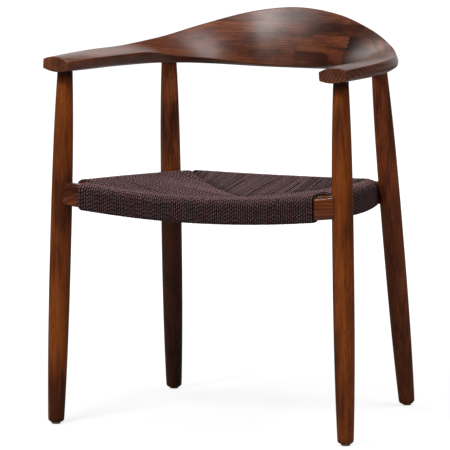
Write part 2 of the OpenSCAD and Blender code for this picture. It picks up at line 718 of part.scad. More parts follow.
arm_left();
arm_right();
back_board_middle();
back_board_top();
front_leg_left();
front_leg_right();
rear_leg_left();
rear_leg_right();
front_rail();
rear_rail();
side_rail_left();
side_rail_right();
weave_front();
weave_rear();
weave_left();
weave_right();
card_front();
card_rear();
card_left();
card_right();
glide_front_left();
glide_front_right();
glide_rear_left();
glide_rear_right();
nail_front_left();
nail_front_right();
nail_rear_left();
nail_rear_right();
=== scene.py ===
import bpy
import bmesh
import math
import numpy as np
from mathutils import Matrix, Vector


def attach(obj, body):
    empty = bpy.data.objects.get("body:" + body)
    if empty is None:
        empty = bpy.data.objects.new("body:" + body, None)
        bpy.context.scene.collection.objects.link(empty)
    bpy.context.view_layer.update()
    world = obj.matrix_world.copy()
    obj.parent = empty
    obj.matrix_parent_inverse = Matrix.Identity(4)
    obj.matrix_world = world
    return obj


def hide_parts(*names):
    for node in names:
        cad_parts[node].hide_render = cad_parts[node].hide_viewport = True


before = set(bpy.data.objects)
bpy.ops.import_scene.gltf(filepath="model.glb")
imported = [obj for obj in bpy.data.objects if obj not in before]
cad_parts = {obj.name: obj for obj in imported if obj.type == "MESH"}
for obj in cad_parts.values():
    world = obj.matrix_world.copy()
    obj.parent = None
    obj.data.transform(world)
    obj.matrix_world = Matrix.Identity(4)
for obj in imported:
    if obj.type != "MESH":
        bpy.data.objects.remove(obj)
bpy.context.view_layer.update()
scene = bpy.context.scene
millimetre = 0.001
shiftY = -232.971  # part.scad counts y from the front feet, the frame from the middle of the chair's box
random = np.random.default_rng(7)


# small tools for meshes

def mix(a, b, t):
    return a + (b - a) * t


# a node's name as a piece's name: front_rail gives frontRail
def camelName(node):
    first, *others = node.split("_")
    return first + "".join(word.title() for word in others)


def newObject(name, data):  # at the origin, and linked into the scene
    thing = bpy.data.objects.new(name, data)
    scene.collection.objects.link(thing)
    return thing


# puts points (in part.scad's millimetres) and faces into a mesh. Each of faceSets has a row of corners for a
# face. All are turned round where the first set would be inside out: its volume is the sum of the wedges
# between its faces and the origin.
def newPiece(name, points, *faceSets, uv=None):
    a, b, c, d = [points[faceSets[0][:, k]] for k in range(4)]
    if (a * (np.cross(b, c) + np.cross(c, d))).sum() < 0:
        faceSets = [faces[:, ::-1] for faces in faceSets]
    corners = np.concatenate([faces.ravel() for faces in faceSets]).astype(np.int32)
    sides = np.concatenate([np.full(len(faces), faces.shape[1], np.int32) for faces in faceSets])
    points = (points + np.array([0, shiftY, 0])).astype(np.float32) * millimetre
    mesh = bpy.data.meshes.new(name)
    mesh.vertices.add(len(points))
    mesh.vertices.foreach_set("co", points.ravel())
    mesh.loops.add(len(corners))
    mesh.loops.foreach_set("vertex_index", corners)
    mesh.polygons.add(len(sides))
    mesh.polygons.foreach_set("loop_start", np.cumsum(sides, dtype=np.int32) - sides)
    if uv is not None:
        layer = mesh.uv_layers.new(name="along")
        layer.data.foreach_set("uv", uv.astype(np.float32)[corners].ravel())
    mesh.update(calc_edges=True)
    mesh.validate()
    mesh.shade_smooth()
    return newObject(name, mesh)


# quads of a grid of rows x columns whose points are numbered row by row
def gridFaces(rows, columns, closedRows=False, closedColumns=False, start=0):
    i = np.arange(rows if closedRows else rows - 1)
    j = np.arange(columns if closedColumns else columns - 1)
    i, j = [a.ravel() for a in np.meshgrid(i, j, indexing="ij")]
    up, on = (i + 1) % rows, (j + 1) % columns
    return start + np.stack([i * columns + j, i * columns + on, up * columns + on, up * columns + j], 1)


def merged(mesh, apart):  # points up to that many metres apart become one
    work = bmesh.new()
    work.from_mesh(mesh)
    bmesh.ops.remove_doubles(work, verts=work.verts, dist=apart)
    work.to_mesh(mesh)
    work.free()
    return mesh


# merged, smoothly shaded copy of a CAD node whose shape is right
def copyOf(node):
    mesh = merged(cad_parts[node].data.copy(), 2e-6)
    mesh.shade_smooth()
    return newObject(camelName(node), mesh)


def finished(piece, node, material, sharp=None):
    if sharp:
        piece.data.set_sharp_from_angle(angle=math.radians(sharp))
    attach(piece, "root")
    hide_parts(node)
    piece.data.materials.clear()
    piece.data.materials.append(material)
    print(piece.name, len(piece.data.polygons))


# shader maths as plain expressions

class Wire:  # one output socket; sums with it add Math nodes
    def __init__(self, finish, socket):
        self.finish, self.socket = finish, socket

    def __add__(self, other): return self.finish.maths("ADD", self, other)
    def __radd__(self, other): return self.finish.maths("ADD", other, self)
    def __sub__(self, other): return self.finish.maths("SUBTRACT", self, other)
    def __rsub__(self, other): return self.finish.maths("SUBTRACT", other, self)
    def __mul__(self, other): return self.finish.maths("MULTIPLY", self, other)
    def __rmul__(self, other): return self.finish.maths("MULTIPLY", other, self)
    def __truediv__(self, other): return self.finish.maths("DIVIDE", self, other)
    def __rtruediv__(self, other): return self.finish.maths("DIVIDE", other, self)


class Finish:  # one material, or the world, with its nodes
    def __init__(self, name, kind="materials"):
        self.owner = getattr(bpy.data, kind).new(name)
        self.owner.use_nodes = True
        self.tree = self.owner.node_tree
        self.tree.nodes.clear()

    # adds a node: its type, its settings, which are set first, and its sockets' values or links
    def node(self, kind, settings=None, sockets=None, out=0):
        made = self.tree.nodes.new(kind)
        for name, value in (settings or {}).items():
            if name == "stops":
                ramp = made.color_ramp.elements
                while len(ramp) < len(value):
                    ramp.new(0.5)
                for element, (place, colour) in zip(ramp, value):
                    element.position, element.color = place, (*colour, 1)
            else:
                setattr(made, name, value)
        for name, value in (sockets or {}).items():
            if isinstance(value, Wire):
                self.tree.links.new(value.socket, made.inputs[name])
            else:
                made.inputs[name].default_value = value
        return Wire(self, made.outputs[out]) if made.outputs else None

    def maths(self, kind, *values):
        return self.node("ShaderNodeMath", {"operation": kind}, dict(enumerate(values)))

    def vector(self, kind, *values):
        return self.node("ShaderNodeVectorMath", {"operation": kind}, dict(enumerate(values)))

    def size(self, value):
        return self.maths("ABSOLUTE", value)

    def fade(self, low, high, value):  # 0 at low, 1 at high, smoothly between
        return self.node("ShaderNodeMapRange", {"interpolation_type": "SMOOTHSTEP"},
                         {"Value": value, "From Min": low, "From Max": high})

    def band(self, value, low, high):  # 1 where the value's size is up to low, 0 from high on
        return 1 - self.fade(low, high, self.size(value))

    def blend(self, factor, a, b, kind="MIX"):
        return self.node("ShaderNodeMix", {"data_type": "RGBA", "blend_type": kind, "clamp_factor": True},
                         {0: factor, 6: a if isinstance(a, Wire) else (*a, 1),
                          7: b if isinstance(b, Wire) else (*b, 1)}, out=2)

    def noise(self, place, scale, detail, rough=0.5):
        return self.node("ShaderNodeTexNoise", {"noise_dimensions": "3D"},
                         {"Vector": place, "Scale": scale, "Detail": detail, "Roughness": rough})

    def chance(self, number):  # a random value of its own for each whole number
        return self.node("ShaderNodeTexWhiteNoise", {"noise_dimensions": "1D"}, {"W": number})

    def axes(self, place):
        parts = self.node("ShaderNodeSeparateXYZ", None, {"Vector": place}).socket.node
        return [Wire(self, out) for out in parts.outputs]

    def joined(self, x, y, z):
        return self.node("ShaderNodeCombineXYZ", None, {"X": x, "Y": y, "Z": z})

    def objectPlace(self):
        return self.node("ShaderNodeTexCoord", out=3)

    def xyz(self):
        return self.axes(self.objectPlace())

    def uvPlace(self):
        return self.node("ShaderNodeUVMap", {"uv_map": "along"})

    def bump(self, height, strength=1.0, depth=1.0):
        return self.node("ShaderNodeBump", None, {"Strength": strength, "Distance": depth, "Height": height})

    def surface(self, **sockets):
        values = {name.replace("_", " "): value for name, value in sockets.items()}
        shader = self.node("ShaderNodeBsdfPrincipled", None, values)
        self.node("ShaderNodeOutputMaterial", None, {"Surface": shader})
        return self.owner


# The bow that makes the arms and the backrest, as part.scad has it. The rows of values are those of its
# sections from an arm's tip to the middle of the back.
bow = {
    "spread": 554, "reach": 497, "height": 683, "rise": 20, "overhang": 29, "tilt": 68,
    "width": [54, 69, 69, 63, 63, 84.66, 110.31, 120],
    "across": [1, 0.982, 0.965, 0.912, 0.80, 0.586, 0.30, 0],
    "along": [0, 0.196, 0.412, 0.612, 0.766, 0.889, 0.975, 1],
    "lift": [0, 0, -0.1, -0.2, -0.08, 0.36, 0.8, 1],
    "lean": [0.06, 0.05, 0.09, 0.15, 0.45, 0.73, 0.93, 1],
    "outerEdge": [17, 18, 19, 20, 17, 16, 14, 13.5],
    "innerEdge": [16, 17, 18, 20, 18, 16, 12.5, 12],
    "over": [7, 4.41, 2.1, 0.56, 0, -0.84, -0.91, -0.84],
    "under": [5.4, 8.73, 9.45, 9.45, 9.72, 8.1, 6.48, 6.12],
    "edgeRadius": 2.2, "tipRadius": 2.0, "ringsPerSection": 28, "facePoints": 26, "cornerPoints": 6,
    "glueLines": [732.5, 711, 689.5, 668], "fingerAt": 129, "lowFingerAt": 9,
    "fingers": 3, "fingerLength": 6, "boardGap": 0.1, "beyond": 900,
}
lastSection = len(bow["across"]) - 1
lastS = 2 * lastSection  # s counts sections, from one tip over the middle to the other tip


# Catmull-Rom curve through a row of section values, mirrored past the middle; odd values change sign there
def smooth(name, s, odd=False):
    v = np.array(bow[name], float)
    sign = -1 if odd else 1
    row = np.concatenate([[2 * v[0] - v[1]], v, sign * v[-2::-1], [sign * (2 * v[0] - v[1])]])
    k = np.clip(np.floor(s).astype(int), 0, lastS - 1)
    t = s - k
    a, b, c, d = row[k], row[k + 1], row[k + 2], row[k + 3]
    return 0.5 * (2 * b + (c - a) * t + (2 * a - 5 * b + 4 * c - d) * t**2 + (3 * b - a - 3 * c + d) * t**3)


# the bow's middle line: each section's shares of half the spread, of the reach and of the rise
def bowMiddle(s):
    return np.stack([smooth("across", s, True) * bow["spread"] / 2,
                     smooth("along", s) * bow["reach"] - bow["overhang"],
                     bow["height"] + smooth("lift", s) * bow["rise"]], -1)


# one closed section in its own plane: the two crowned faces, offset from the middle line by half the
# edge's thickness plus crown times (1 - u squared), joined by quarter circles to the two edges
def bowSection(s, inset):
    s, inset = s[:, None], inset[:, None]
    half = smooth("width", s) / 2 - inset
    radius = bow["edgeRadius"] - np.minimum(inset, bow["edgeRadius"] * 0.6)
    face = np.sin(np.linspace(-0.5, 0.5, bow["facePoints"]) * math.pi)[None]
    turn = np.linspace(0, math.pi / 2, bow["cornerPoints"])[None, 1:-1]
    edge = np.array([[-0.5, 0.0, 0.5]])
    ease = 1 - radius / half

    def thick(u, crown):
        between = mix(smooth("innerEdge", s), smooth("outerEdge", s), (u + 1) / 2)
        return between / 2 + smooth(crown, s) * (1 - u**2) - inset

    def corner(side, up, crown, backwards):
        x = side * (half - radius + radius * np.sin(turn))
        y = thick(side * ease, crown) * up - up * radius * (1 - np.cos(turn))
        return (x[:, ::-1], y[:, ::-1]) if backwards else (x, y)

    def side(sign):
        high = thick(sign * ease, "over") - radius
        low = -thick(sign * ease, "under") + radius
        return sign * half, mix(low, high, (1 - sign * edge) / 2)

    parts = [(face * ease * half, thick(face * ease, "over")), corner(1, 1, "over", False), side(1),
             corner(1, -1, "under", True), (-face * ease * half, -thick(-face * ease, "under")),
             corner(-1, -1, "under", False), side(-1), corner(-1, 1, "over", True)]
    return [np.concatenate(both, 1) for both in zip(*[np.broadcast_arrays(x, y) for x, y in parts])]


# the sections in space: each stands upright across the bow's heading and turns up by its lean
def bowRings(s, inset):
    middle = bowMiddle(s)
    ahead = bowMiddle(np.minimum(s + 0.05, lastS)) - bowMiddle(np.maximum(s - 0.05, 0))
    heading = ahead[:, :2] / np.linalg.norm(ahead[:, :2], axis=1)[:, None]
    turn = np.radians(smooth("lean", s) * bow["tilt"])[:, None]
    x, y = bowSection(s, inset)
    out, up = x * np.cos(turn) - y * np.sin(turn), x * np.sin(turn) + y * np.cos(turn)
    return np.stack([middle[:, :1] + out * heading[:, 1:], middle[:, 1:2] - out * heading[:, :1],
                     middle[:, 2:] + up], -1), out


# the whole bow, closed at both tips: the sections are inset round a quarter circle towards a tip, and
# then shrink to a point. UV holds the length along the bow and the way across it.
def bowPiece(name):
    tip = bow["tipRadius"]
    turns = np.linspace(math.pi / 2, 0, 6)[:-1]
    firstStep = bow["along"][1] * bow["reach"]
    roundS, roundInset = tip * (1 - np.sin(turns)) / firstStep, tip * (1 - np.cos(turns))
    s = np.linspace(tip / firstStep, lastS - tip / firstStep, lastS * bow["ringsPerSection"])
    points, out = bowRings(np.concatenate([roundS, s, (lastS - roundS)[::-1]]),
                           np.concatenate([roundInset, np.zeros(len(s)), roundInset[::-1]]))
    shrink = np.array([0.2, 0.6, 0.9, 0.97])[:, None, None]
    first, end = [mix(points[k].mean(0), points[k], shrink) for k in (0, -1)]
    points = np.concatenate([first, points, end[::-1]])
    out = np.concatenate([out[:1] * shrink[..., 0], out, (out[-1:] * shrink[..., 0])[::-1]])
    s = np.concatenate([np.zeros(4), roundS, s, (lastS - roundS)[::-1], np.full(4, float(lastS))])
    length = np.append(0, np.cumsum(np.linalg.norm(np.diff(bowMiddle(s), axis=0), axis=1)))
    uv = np.stack([np.repeat(length[:, None], out.shape[1], 1), out], -1) * millimetre

    rows, columns = out.shape
    tips = np.stack([points[0].mean(0), points[-1].mean(0)])
    tipUv = np.stack([uv[0].mean(0), uv[-1].mean(0)])
    j = np.arange(columns)
    on, last, pole = (j + 1) % columns, (rows - 1) * columns, np.full(columns, rows * columns)
    fans = np.concatenate([np.stack([pole, on, j], 1), np.stack([pole + 1, last + j, last + on], 1)])
    quads = gridFaces(rows, columns, closedColumns=True)
    points, uv = np.concatenate([points.reshape(-1, 3), tips]), np.concatenate([uv.reshape(-1, 2), tipUv])
    return newPiece(name, points, quads, fans, uv=uv)


# keeps what of a piece is inside an upright outline in x and z, which is drawn out through the chair's depth
def cutTo(piece, outline):
    n = len(outline)
    depth = (-bow["beyond"], bow["beyond"])
    points = np.array([[x, y, z] for y in depth for x, z in outline], float)
    j = np.arange(n)
    walls = np.stack([j, (j + 1) % n, n + (j + 1) % n, n + j], 1)
    tool = newPiece("tool", points, walls, np.stack([j[::-1], n + j]))
    tool.data.shade_flat()
    cut = piece.modifiers.new("cut", "BOOLEAN")
    cut.operation, cut.solver, cut.object = "INTERSECT", "EXACT", tool
    done = bpy.data.meshes.new_from_object(piece.evaluated_get(bpy.context.evaluated_depsgraph_get()))
    piece.modifiers.clear()
    old, piece.data = piece.data, done
    bpy.data.meshes.remove(old)
    bpy.data.objects.remove(tool)
    return piece


# a finger joint's zigzag from one glue line up to the next
def fingers(x, low, high):
    n = 2 * bow["fingers"]
    i = np.arange(n + 1)
    sides = np.where(i % 2 == 0, -1, 1) * bow["fingerLength"] / 2
    return np.stack([x + sides, mix(low, high, i / n)], 1).tolist()


legs = {
    "radius": 20, "topRadius": 14.4, "footRadius": 15, "belly": 340, "topPower": 2.6, "footPower": 2.5,
    "underCrown": 9, "footEase": 3.5, "easePower": 0.8, "soleEdge": 0.4, "soleRing": 5, "bodyFrom": 6,
    "levelTop": 600, "shoulderNear": 660, "bodyRows": 70, "topRows": 13, "sides": 72,
    "tenonRadius": 9, "tenonOver": 2, "gap": 0.3, "glide": 4, "frontOut": 1.6, "rearOut": 0,
    "frontFoot": (293.5, 0, 0), "rearFoot": (246, 448, 0), "frontSeat": 0.43, "rearSeat": 4.1,
    "nearS": 0.45, "nearRadius": 24, "nearUnit": 20,
}

# each leg's foot, its top on the bow's middle line, and the bow's section there
legEnds = {}
for hand, way in (("right", 1), ("left", -1)):
    for end in ("front", "rear"):
        s = legs[end + "Seat"]
        top = bowMiddle(np.array([s]))[0] + np.array([legs[end + "Out"], 0, 0])
        foot = np.array(legs[end + "Foot"], float)
        mirror = np.array([way, 1, 1])
        legEnds[f"{end}_leg_{hand}"] = (foot * mirror, top * mirror, s if way > 0 else lastS - s)


# the belly is widest, and the radius falls from it by a power of the way up or down
def legRadius(z):
    belly = legs["belly"]
    up = np.clip((z - belly) / (bow["height"] - belly - 2 * legs["underCrown"]), 0, 1)
    down = np.clip((belly - z) / belly, 0, 1)
    return np.where(z > belly, mix(legs["radius"], legs["topRadius"], up**legs["topPower"]),
                    mix(legs["radius"], legs["footRadius"], down**legs["footPower"]))


# height of the bow's underside over a place in plan near a leg: a cubic through nearby points of the
# underside, found by least squares
def undersideNear(seatS, top):
    near = legs["nearS"]
    s = np.linspace(max(seatS - near, 0.03), min(seatS + near, lastS - 0.03), 60)
    rings = bowRings(s, np.full(len(s), -legs["gap"]))[0]
    lower = rings.shape[1] // 2
    low = rings[:, lower + 1:lower + bow["facePoints"] - 1].reshape(-1, 3)
    dx, dy = low[:, 0] - top[0], low[:, 1] - top[1]
    close = np.hypot(dx, dy) < legs["nearRadius"]
    powers = [(i, j) for i in range(4) for j in range(4 - i)]
    unit = legs["nearUnit"]
    terms = lambda x, y: np.stack([(x / unit)**i * (y / unit)**j for i, j in powers], -1)
    fit = np.linalg.lstsq(terms(dx[close], dy[close]), low[close, 2], rcond=None)[0]
    return lambda x, y: terms(x - top[0], y - top[1]) @ fit


# a leg is a lathe form on its leaning axis: rows go from the middle of the foot up to the bow, in along
# the bow's underside to the tenon, and up to the tenon's end
def legPiece(node):
    foot, top, seatS = legEnds[node]
    length = np.linalg.norm(top - foot)
    axis = (top - foot) / length
    side = np.cross(axis, [0.0, 1.0, 0.0])
    side /= np.linalg.norm(side)
    under = undersideNear(seatS, top)
    angle = np.arange(legs["sides"]) / legs["sides"] * 2 * math.pi
    around = side * np.cos(angle)[:, None] + np.cross(axis, side) * np.sin(angle)[:, None]

    def rings(z, radius):
        return foot + axis * (z[..., None] / axis[2]) + around * radius[..., None]

    bottom, ease, sole = legs["glide"], legs["footEase"], legs["footRadius"] - legs["footEase"]
    rise = np.linspace(0, 1, 5)[1:]
    bodyZ = np.linspace(bottom + ease + legs["bodyFrom"], legs["levelTop"], legs["bodyRows"])
    heights = np.concatenate([[bottom] * 3, bottom + ease * rise, bodyZ])
    radii = np.concatenate([[0.01, legs["soleRing"], sole - legs["soleEdge"]],
                            sole + ease * rise**legs["easePower"], legRadius(bodyZ)])
    body = rings(heights[:, None], radii[:, None])
    body[:3, :, 2] = bottom
    # the last rows run up to the underside, each column to its own height
    near = np.array([legs["shoulderNear"]], float)
    edge = rings(near, legRadius(near))
    reach = under(edge[:, 0], edge[:, 1])
    z = mix(float(legs["levelTop"]), reach, np.linspace(0, 1, legs["topRows"] + 1)[1:, None])
    up = rings(z, legRadius(z))
    up[-1, :, 2] = under(up[-1, :, 0], up[-1, :, 1])
    shoulder = rings(reach, mix(legRadius(reach), legs["tenonRadius"], np.array([0.03, 0.5, 1])[:, None]))
    shoulder[..., 2] = under(shoulder[..., 0], shoulder[..., 1])
    tenonEnd = foot + axis * (length + legs["tenonOver"])
    tenon = [tenonEnd + around * radius for radius in (legs["tenonRadius"], 0.01)]
    grid = np.concatenate([body, up, shoulder, tenon])
    uv = np.stack([np.broadcast_to(angle * legs["radius"], grid.shape[:2]), grid[..., 2]], -1) * millimetre
    piece = newPiece(camelName(node), grid.reshape(-1, 3), gridFaces(*grid.shape[:2], closedColumns=True),
                     uv=uv.reshape(-1, 2))
    merged(piece.data, 3e-5)
    return piece


# seat frame, as part.scad has it: values of all rails, of the front and rear ones, and of the side ones
seat = {
    "railThick": 20, "endEdge": 6.5, "middleEdge": 10, "lowEdge": 3, "innerEdge": 3, "crest": 0.85,
    "endBack": 9.5, "endRound": 4, "sideTrim": 2,
    "front": {"top": 458, "high": 38, "offset": -8.5, "bow": -8, "endRise": 4.5, "dip": 15, "dipPower": 1.3,
              "belly": 18, "spread": 488},
    "rear": {"top": 439.5, "high": 43, "offset": 8.5, "bow": 4, "endRise": 0, "dip": 2.5, "dipPower": 1,
             "belly": 3, "spread": 380},
    "side": {"frontRise": 3.5, "rearRise": -1, "bow": 10, "belly": 5.5, "extra": 4, "edge": 13, "endEdge": 4,
             "endReach": 35, "ease": 12},
}
cord = {
    "diameter": 4, "gap": 0.3, "middleZ": 423, "seamDepth": 188, "underZ": 404, "webPower": 1.3,
    "seamPower": 3.4, "cornerIn": 20, "cornerSink": 2, "cornerSlack": 0.2, "seamGap": 0.15, "past": 3,
    "pitch": 4.35, "hump": (-1, -0.93, -0.74, -0.4, 0, 0.4, 0.74, 0.93), "unevenWidth": 0.06,
    "unevenHeight": 0.10, "heightRange": (-0.25, 0.2), "seamBend": 1.7, "railBend": 9, "level": 5,
    "rowPower": 0.85, "slitEase": 12, "slitReach": 14, "slitDepth": 3, "splayReach": 16, "endRound": 1.6,
    "sideStart": 12, "sideEnd": 1,
}
halfRail = seat["railThick"] / 2
wrap = cord["gap"] + cord["diameter"]


def at(line, place):
    return [float(v) for v in line(np.array(float(place)))]


def asRows(values, places):  # each value as one row, as long as places
    return [np.broadcast_to(np.asarray(v, float), places.shape)[None] for v in values]


# the front or rear rail's line at places across the chair: its middle, top, lower edge and outer upper
# radius. f falls from 1 in the middle to 0 at the legs with the square of the place.
def endLine(end):
    rail = seat[end]
    foot, top, _ = legEnds[end + "_leg_right"]
    legX, legY, _ = mix(foot, top, (rail["top"] - rail["high"] / 2) / top[2])

    def line(x):
        f = 1 - np.minimum(np.abs(x) / legX, 1)**2
        return (legY + rail["offset"] + rail["bow"] * f,
                rail["top"] + rail["endRise"] * (1 - f)**2 - rail["dip"] * f**rail["dipPower"],
                rail["top"] - rail["high"] - rail["belly"] * f,
                mix(seat["endEdge"], seat["middleEdge"], f))
    return line, legX


frontLine, frontLegX = endLine("front")
rearLine, rearLegX = endLine("rear")
frontY, rearY = at(frontLine, frontLegX)[0], at(rearLine, rearLegX)[0]


# the same of a side rail, at places along the chair, with a bow that is widest half way
def sideLine(y):
    side, front, rear = [seat[name] for name in ("side", "front", "rear")]
    t = (y - frontY) / (rearY - frontY)
    f = 4 * t * (1 - t)
    top = mix(front["top"] + side["frontRise"], rear["top"] + side["rearRise"], t)
    return (mix(front["spread"], rear["spread"], t) / 2 + side["bow"] * f, top,
            top - front["high"] - side["belly"] * f - side["extra"] * t,
            mix(side["edge"], side["endEdge"], np.exp(-np.abs(y - frontY) / side["endReach"])))


# where the seams between the panels begin: across, along, height of the top and of the underside
def seamCorner(end, line, way):
    away = halfRail + wrap + cord["cornerSlack"]
    y = at(line, seat[end]["spread"] / 2 - cord["cornerIn"])[0] + way * away
    middle, top = at(sideLine, y)[:2]
    x = middle - away
    return x, y, top + wrap - cord["cornerSink"], at(line, x)[2] - wrap


frontCorner, rearCorner = seamCorner("front", frontLine, 1), seamCorner("rear", rearLine, -1)
seamY = frontCorner[1] + cord["seamDepth"]


# What a panel is made from at each place along its rail: the rail's line, the way to the seam, and the
# heights of the top and of the underside at the seam. t rises from 0 at a corner to 1 where the seams meet,
# and the top's height follows a power of 1 - t.
def seamHeights(cornerZ, cornerLow, t):
    return (mix(cord["middleZ"], cornerZ, (1 - t)**cord["seamPower"]),
            mix(cornerLow, cord["underZ"], t))


def endPanel(line, corner, way):
    def facts(x):
        rail = line(x)
        t = 1 - np.minimum(np.abs(x) / corner[0], 1)
        seam = way * (mix(corner[1], seamY, t) - rail[0]) - cord["seamGap"] / 2
        return rail, seam, *seamHeights(*corner[2:], t)
    return facts


def sidePanel(y):
    rail = sideLine(y)
    cornerX, cornerY, cornerZ, cornerLow = [
        np.where(y < seamY, front, rear) for front, rear in zip(frontCorner, rearCorner)]
    t = np.maximum((y - cornerY) / (seamY - cornerY), 0)
    seam = rail[0] - cornerX * (1 - t) - cord["seamGap"] / 2 \
        - (t == 0) * (cord["past"] + cord["seamGap"])
    return rail, seam, *seamHeights(cornerZ, cornerLow, t)


# rows of a panel's loop: turn out of the seam's wall, top, turn onto the rail, level over the crest, outer
# upper corner, outer side, lower corner, under the rail, back below, turn into the wall, wall
loopRows = (4, 17, 7, 3, 9, 5, 7, 3, 13, 4, 2)
crestRow = sum(loopRows[:3])

# how far the last cords at a panel's start and end splay, by rows from the crest on
splayRows = (((-6, 9, 15, 22, 30), (0, 0.7, 1, 0.45, 0)), ((-6, 12, 20, 27, 46), (0, 0.45, 0.8, 1, 0)))


# a panel's loop at every place, q from the rail's middle towards the seam, and z. The top is a power curve,
# the turn onto the rail a parabola through three points, and the corners are quarter circles. grow is the
# distance from the rail, one value for each point.
def panelLoop(facts, places, grow):
    rail, *seamFacts = facts(places)
    top, low, edge, seam, topZ, lowZ = asRows([*rail[1:], *seamFacts], places)
    g = np.split(grow, np.cumsum(loopRows)[:-1])
    crest, lowR, level = seat["crest"] * halfRail, seat["lowEdge"], cord["level"]
    inside = lambda k: np.linspace(0, 1, loopRows[k] + 2)[1:-1, None]
    whole = lambda k, end=1: np.linspace(0, end, loopRows[k])[:, None]
    sin, cos = [lambda k, f=f: f(whole(k, math.pi / 2)) for f in (np.sin, np.cos)]
    wall = lambda d: np.maximum(seam - wrap + d, halfRail + cord["gap"])
    over = lambda s, d: mix(topZ - wrap + d, top + d, s**cord["webPower"])
    under = lambda s, d: mix(low - d, lowZ + wrap - d, s)
    reach = wall(wrap) - crest
    bend = np.minimum(cord["seamBend"], 0.4 * reach)
    first, last = bend / reach, 1 - np.minimum(cord["railBend"], 0.45 * reach) / reach

    onto = [(mix(wall(g[2]), crest, last), over(last, g[2])), (crest, top + g[2]),
            (crest - level, top + g[2])]
    s, t, back = mix(first, last, inside(1)**cord["rowPower"]), whole(2), whole(8) * (1 - first)
    loop = [
        (wall(g[0]) - bend * (1 - cos(0)), over(first, g[0]) - bend * (1 - sin(0))),
        (mix(wall(g[1]), crest, s), over(s, g[1])),
        [(1 - t)**2 * a + 2 * t * (1 - t) * b + t**2 * c for a, b, c in zip(*onto)],
        (mix(crest - level, edge - halfRail, inside(3)), top + g[3]),
        (edge - halfRail - (edge + g[4]) * sin(4), top - edge + (edge + g[4]) * cos(4)),
        (-halfRail - g[5], mix(top - edge, low + lowR, inside(5))),
        (lowR - halfRail - (lowR + g[6]) * cos(6), low + lowR - (lowR + g[6]) * sin(6)),
        (mix(lowR - halfRail, halfRail - lowR, inside(7)), low - g[7]),
        (mix(halfRail - lowR, wall(g[8]), back), under(back, g[8])),
        (wall(g[9]) - bend * (1 - sin(9)), under(1 - first, g[9]) + bend * (1 - cos(9))),
        (wall(g[10]), mix(under(1 - first, g[10]) + bend, over(first, g[10]) - bend, inside(10))),
    ]
    q, z = [np.concatenate(both) for both in zip(*[np.broadcast_arrays(*part) for part in loop])]
    return q, z, rail[0]


# A panel of cords side by side, each a round hump across, drawn along the loop. Between two cords the surface
# falls by a cord's radius. slits move the cords near them apart and sink the gap between them; splay slants
# the last cords at the start and the end. The inner wall is smooth, and half rounds close the two ends.
def panelPiece(name, facts, start, end, put, slits, splay):
    cords, rows = int(round((end - start) / cord["pitch"])), sum(loopRows)
    hump = np.array(cord["hump"])
    n = len(hump)
    index = np.append(np.repeat(np.arange(cords), n), cords - 1)
    share = np.append(np.tile((hump + 1) / 2, cords), 1.0)
    u = share * 2 - 1
    width = 1 + random.uniform(-cord["unevenWidth"], cord["unevenWidth"], cords)
    left = np.append(0, np.cumsum(width)) / width.sum()
    places = mix(start, end, mix(left[index], left[index + 1], share))
    fall = cord["diameter"] / 2 * (1 - np.sqrt(np.maximum(1 - u**2, 0)))
    high = random.normal(0, cord["unevenHeight"], cords)[index] * (1 - u**2)
    grow = np.tile(wrap - fall + np.clip(high, *cord["heightRange"]), (rows, 1))
    q, z, middle = panelLoop(facts, places, grow)
    moved = np.tile(places, (rows, 1))
    row = np.arange(rows)[:, None] - crestRow
    for place, nearQ, farQ, wide in slits:
        valley = np.argmin(np.abs(places - place) + (share > 0) * 1e3)
        away = np.arange(len(places)) - valley
        ends = [np.clip(inward / cord["slitEase"], 0, 1) for inward in (q - nearQ, farQ - q)]
        window = ends[0] * ends[1] * (row < 2)
        near = np.exp(-np.abs(places - places[valley]) / cord["slitReach"])
        moved += np.sign(away) * wide / 2 * near * window
        z -= cord["slitDepth"] * (away == 0) * window
    for way, place, most, curve in zip((-1, 1), (start, end), splay, splayRows):
        moved += way * most * np.interp(row, *curve) * np.exp(-np.abs(places - place) / cord["splayReach"])
    outer = put(moved, middle, q, z)
    length = np.cumsum(np.linalg.norm(np.diff(outer, axis=0, prepend=outer[:1]), axis=2), axis=0)
    length = (length - length[crestRow]) * millimetre
    uv = np.stack([np.broadcast_to(index + share, length.shape), length], -1)
    coarse = np.append(places[:-1:n * 4], places[-1])
    q, z, middle = panelLoop(facts, coarse, np.full((rows, len(coarse)), cord["gap"]))
    inner = put(np.tile(coarse, (rows, 1)), middle, q, z)

    turn = np.linspace(0, math.pi, 6)[1:-1, None, None]
    outwards = (np.cos(turn) + 1) / 2
    ahead = (outer[:, -1] - outer[:, -1 - n]).mean(0)
    ahead *= cord["endRound"] / np.linalg.norm(ahead)
    rounds = [mix(inner[:, k], outer[:, k], outwards) + ahead * way * np.sin(turn)
              for k, way in ((0, -1), (-1, 1))]
    points = np.concatenate([part.reshape(-1, 3) for part in (outer, inner, *rounds)])
    a, b, c = len(places), len(coarse), len(turn)
    i, innerStart = np.arange(rows), rows * a
    on = (i + 1) % rows
    faces = [gridFaces(rows, a, closedRows=True),
             gridFaces(rows, b, closedRows=True, start=innerStart)[:, ::-1]]
    for k in (0, 1):
        first = innerStart + rows * b + k * c * rows
        rings = [i * a + k * (a - 1), *[first + j * rows + i for j in range(c)],
                 innerStart + i * b + k * (b - 1)]
        for one, two in zip(rings, rings[1:]):
            quads = np.stack([one, one[on], two[on], two], 1)
            faces.append(quads[:, ::-1] if k else quads)
    endUv = [np.stack(np.broadcast_arrays(index[k] + outwards[..., 0], length[:, k]), -1) for k in (0, -1)]
    uv = np.concatenate([part.reshape(-1, 2) for part in (uv, np.zeros((rows * b, 2)), *endUv)])
    return newPiece(name, points, np.concatenate(faces), uv=uv)


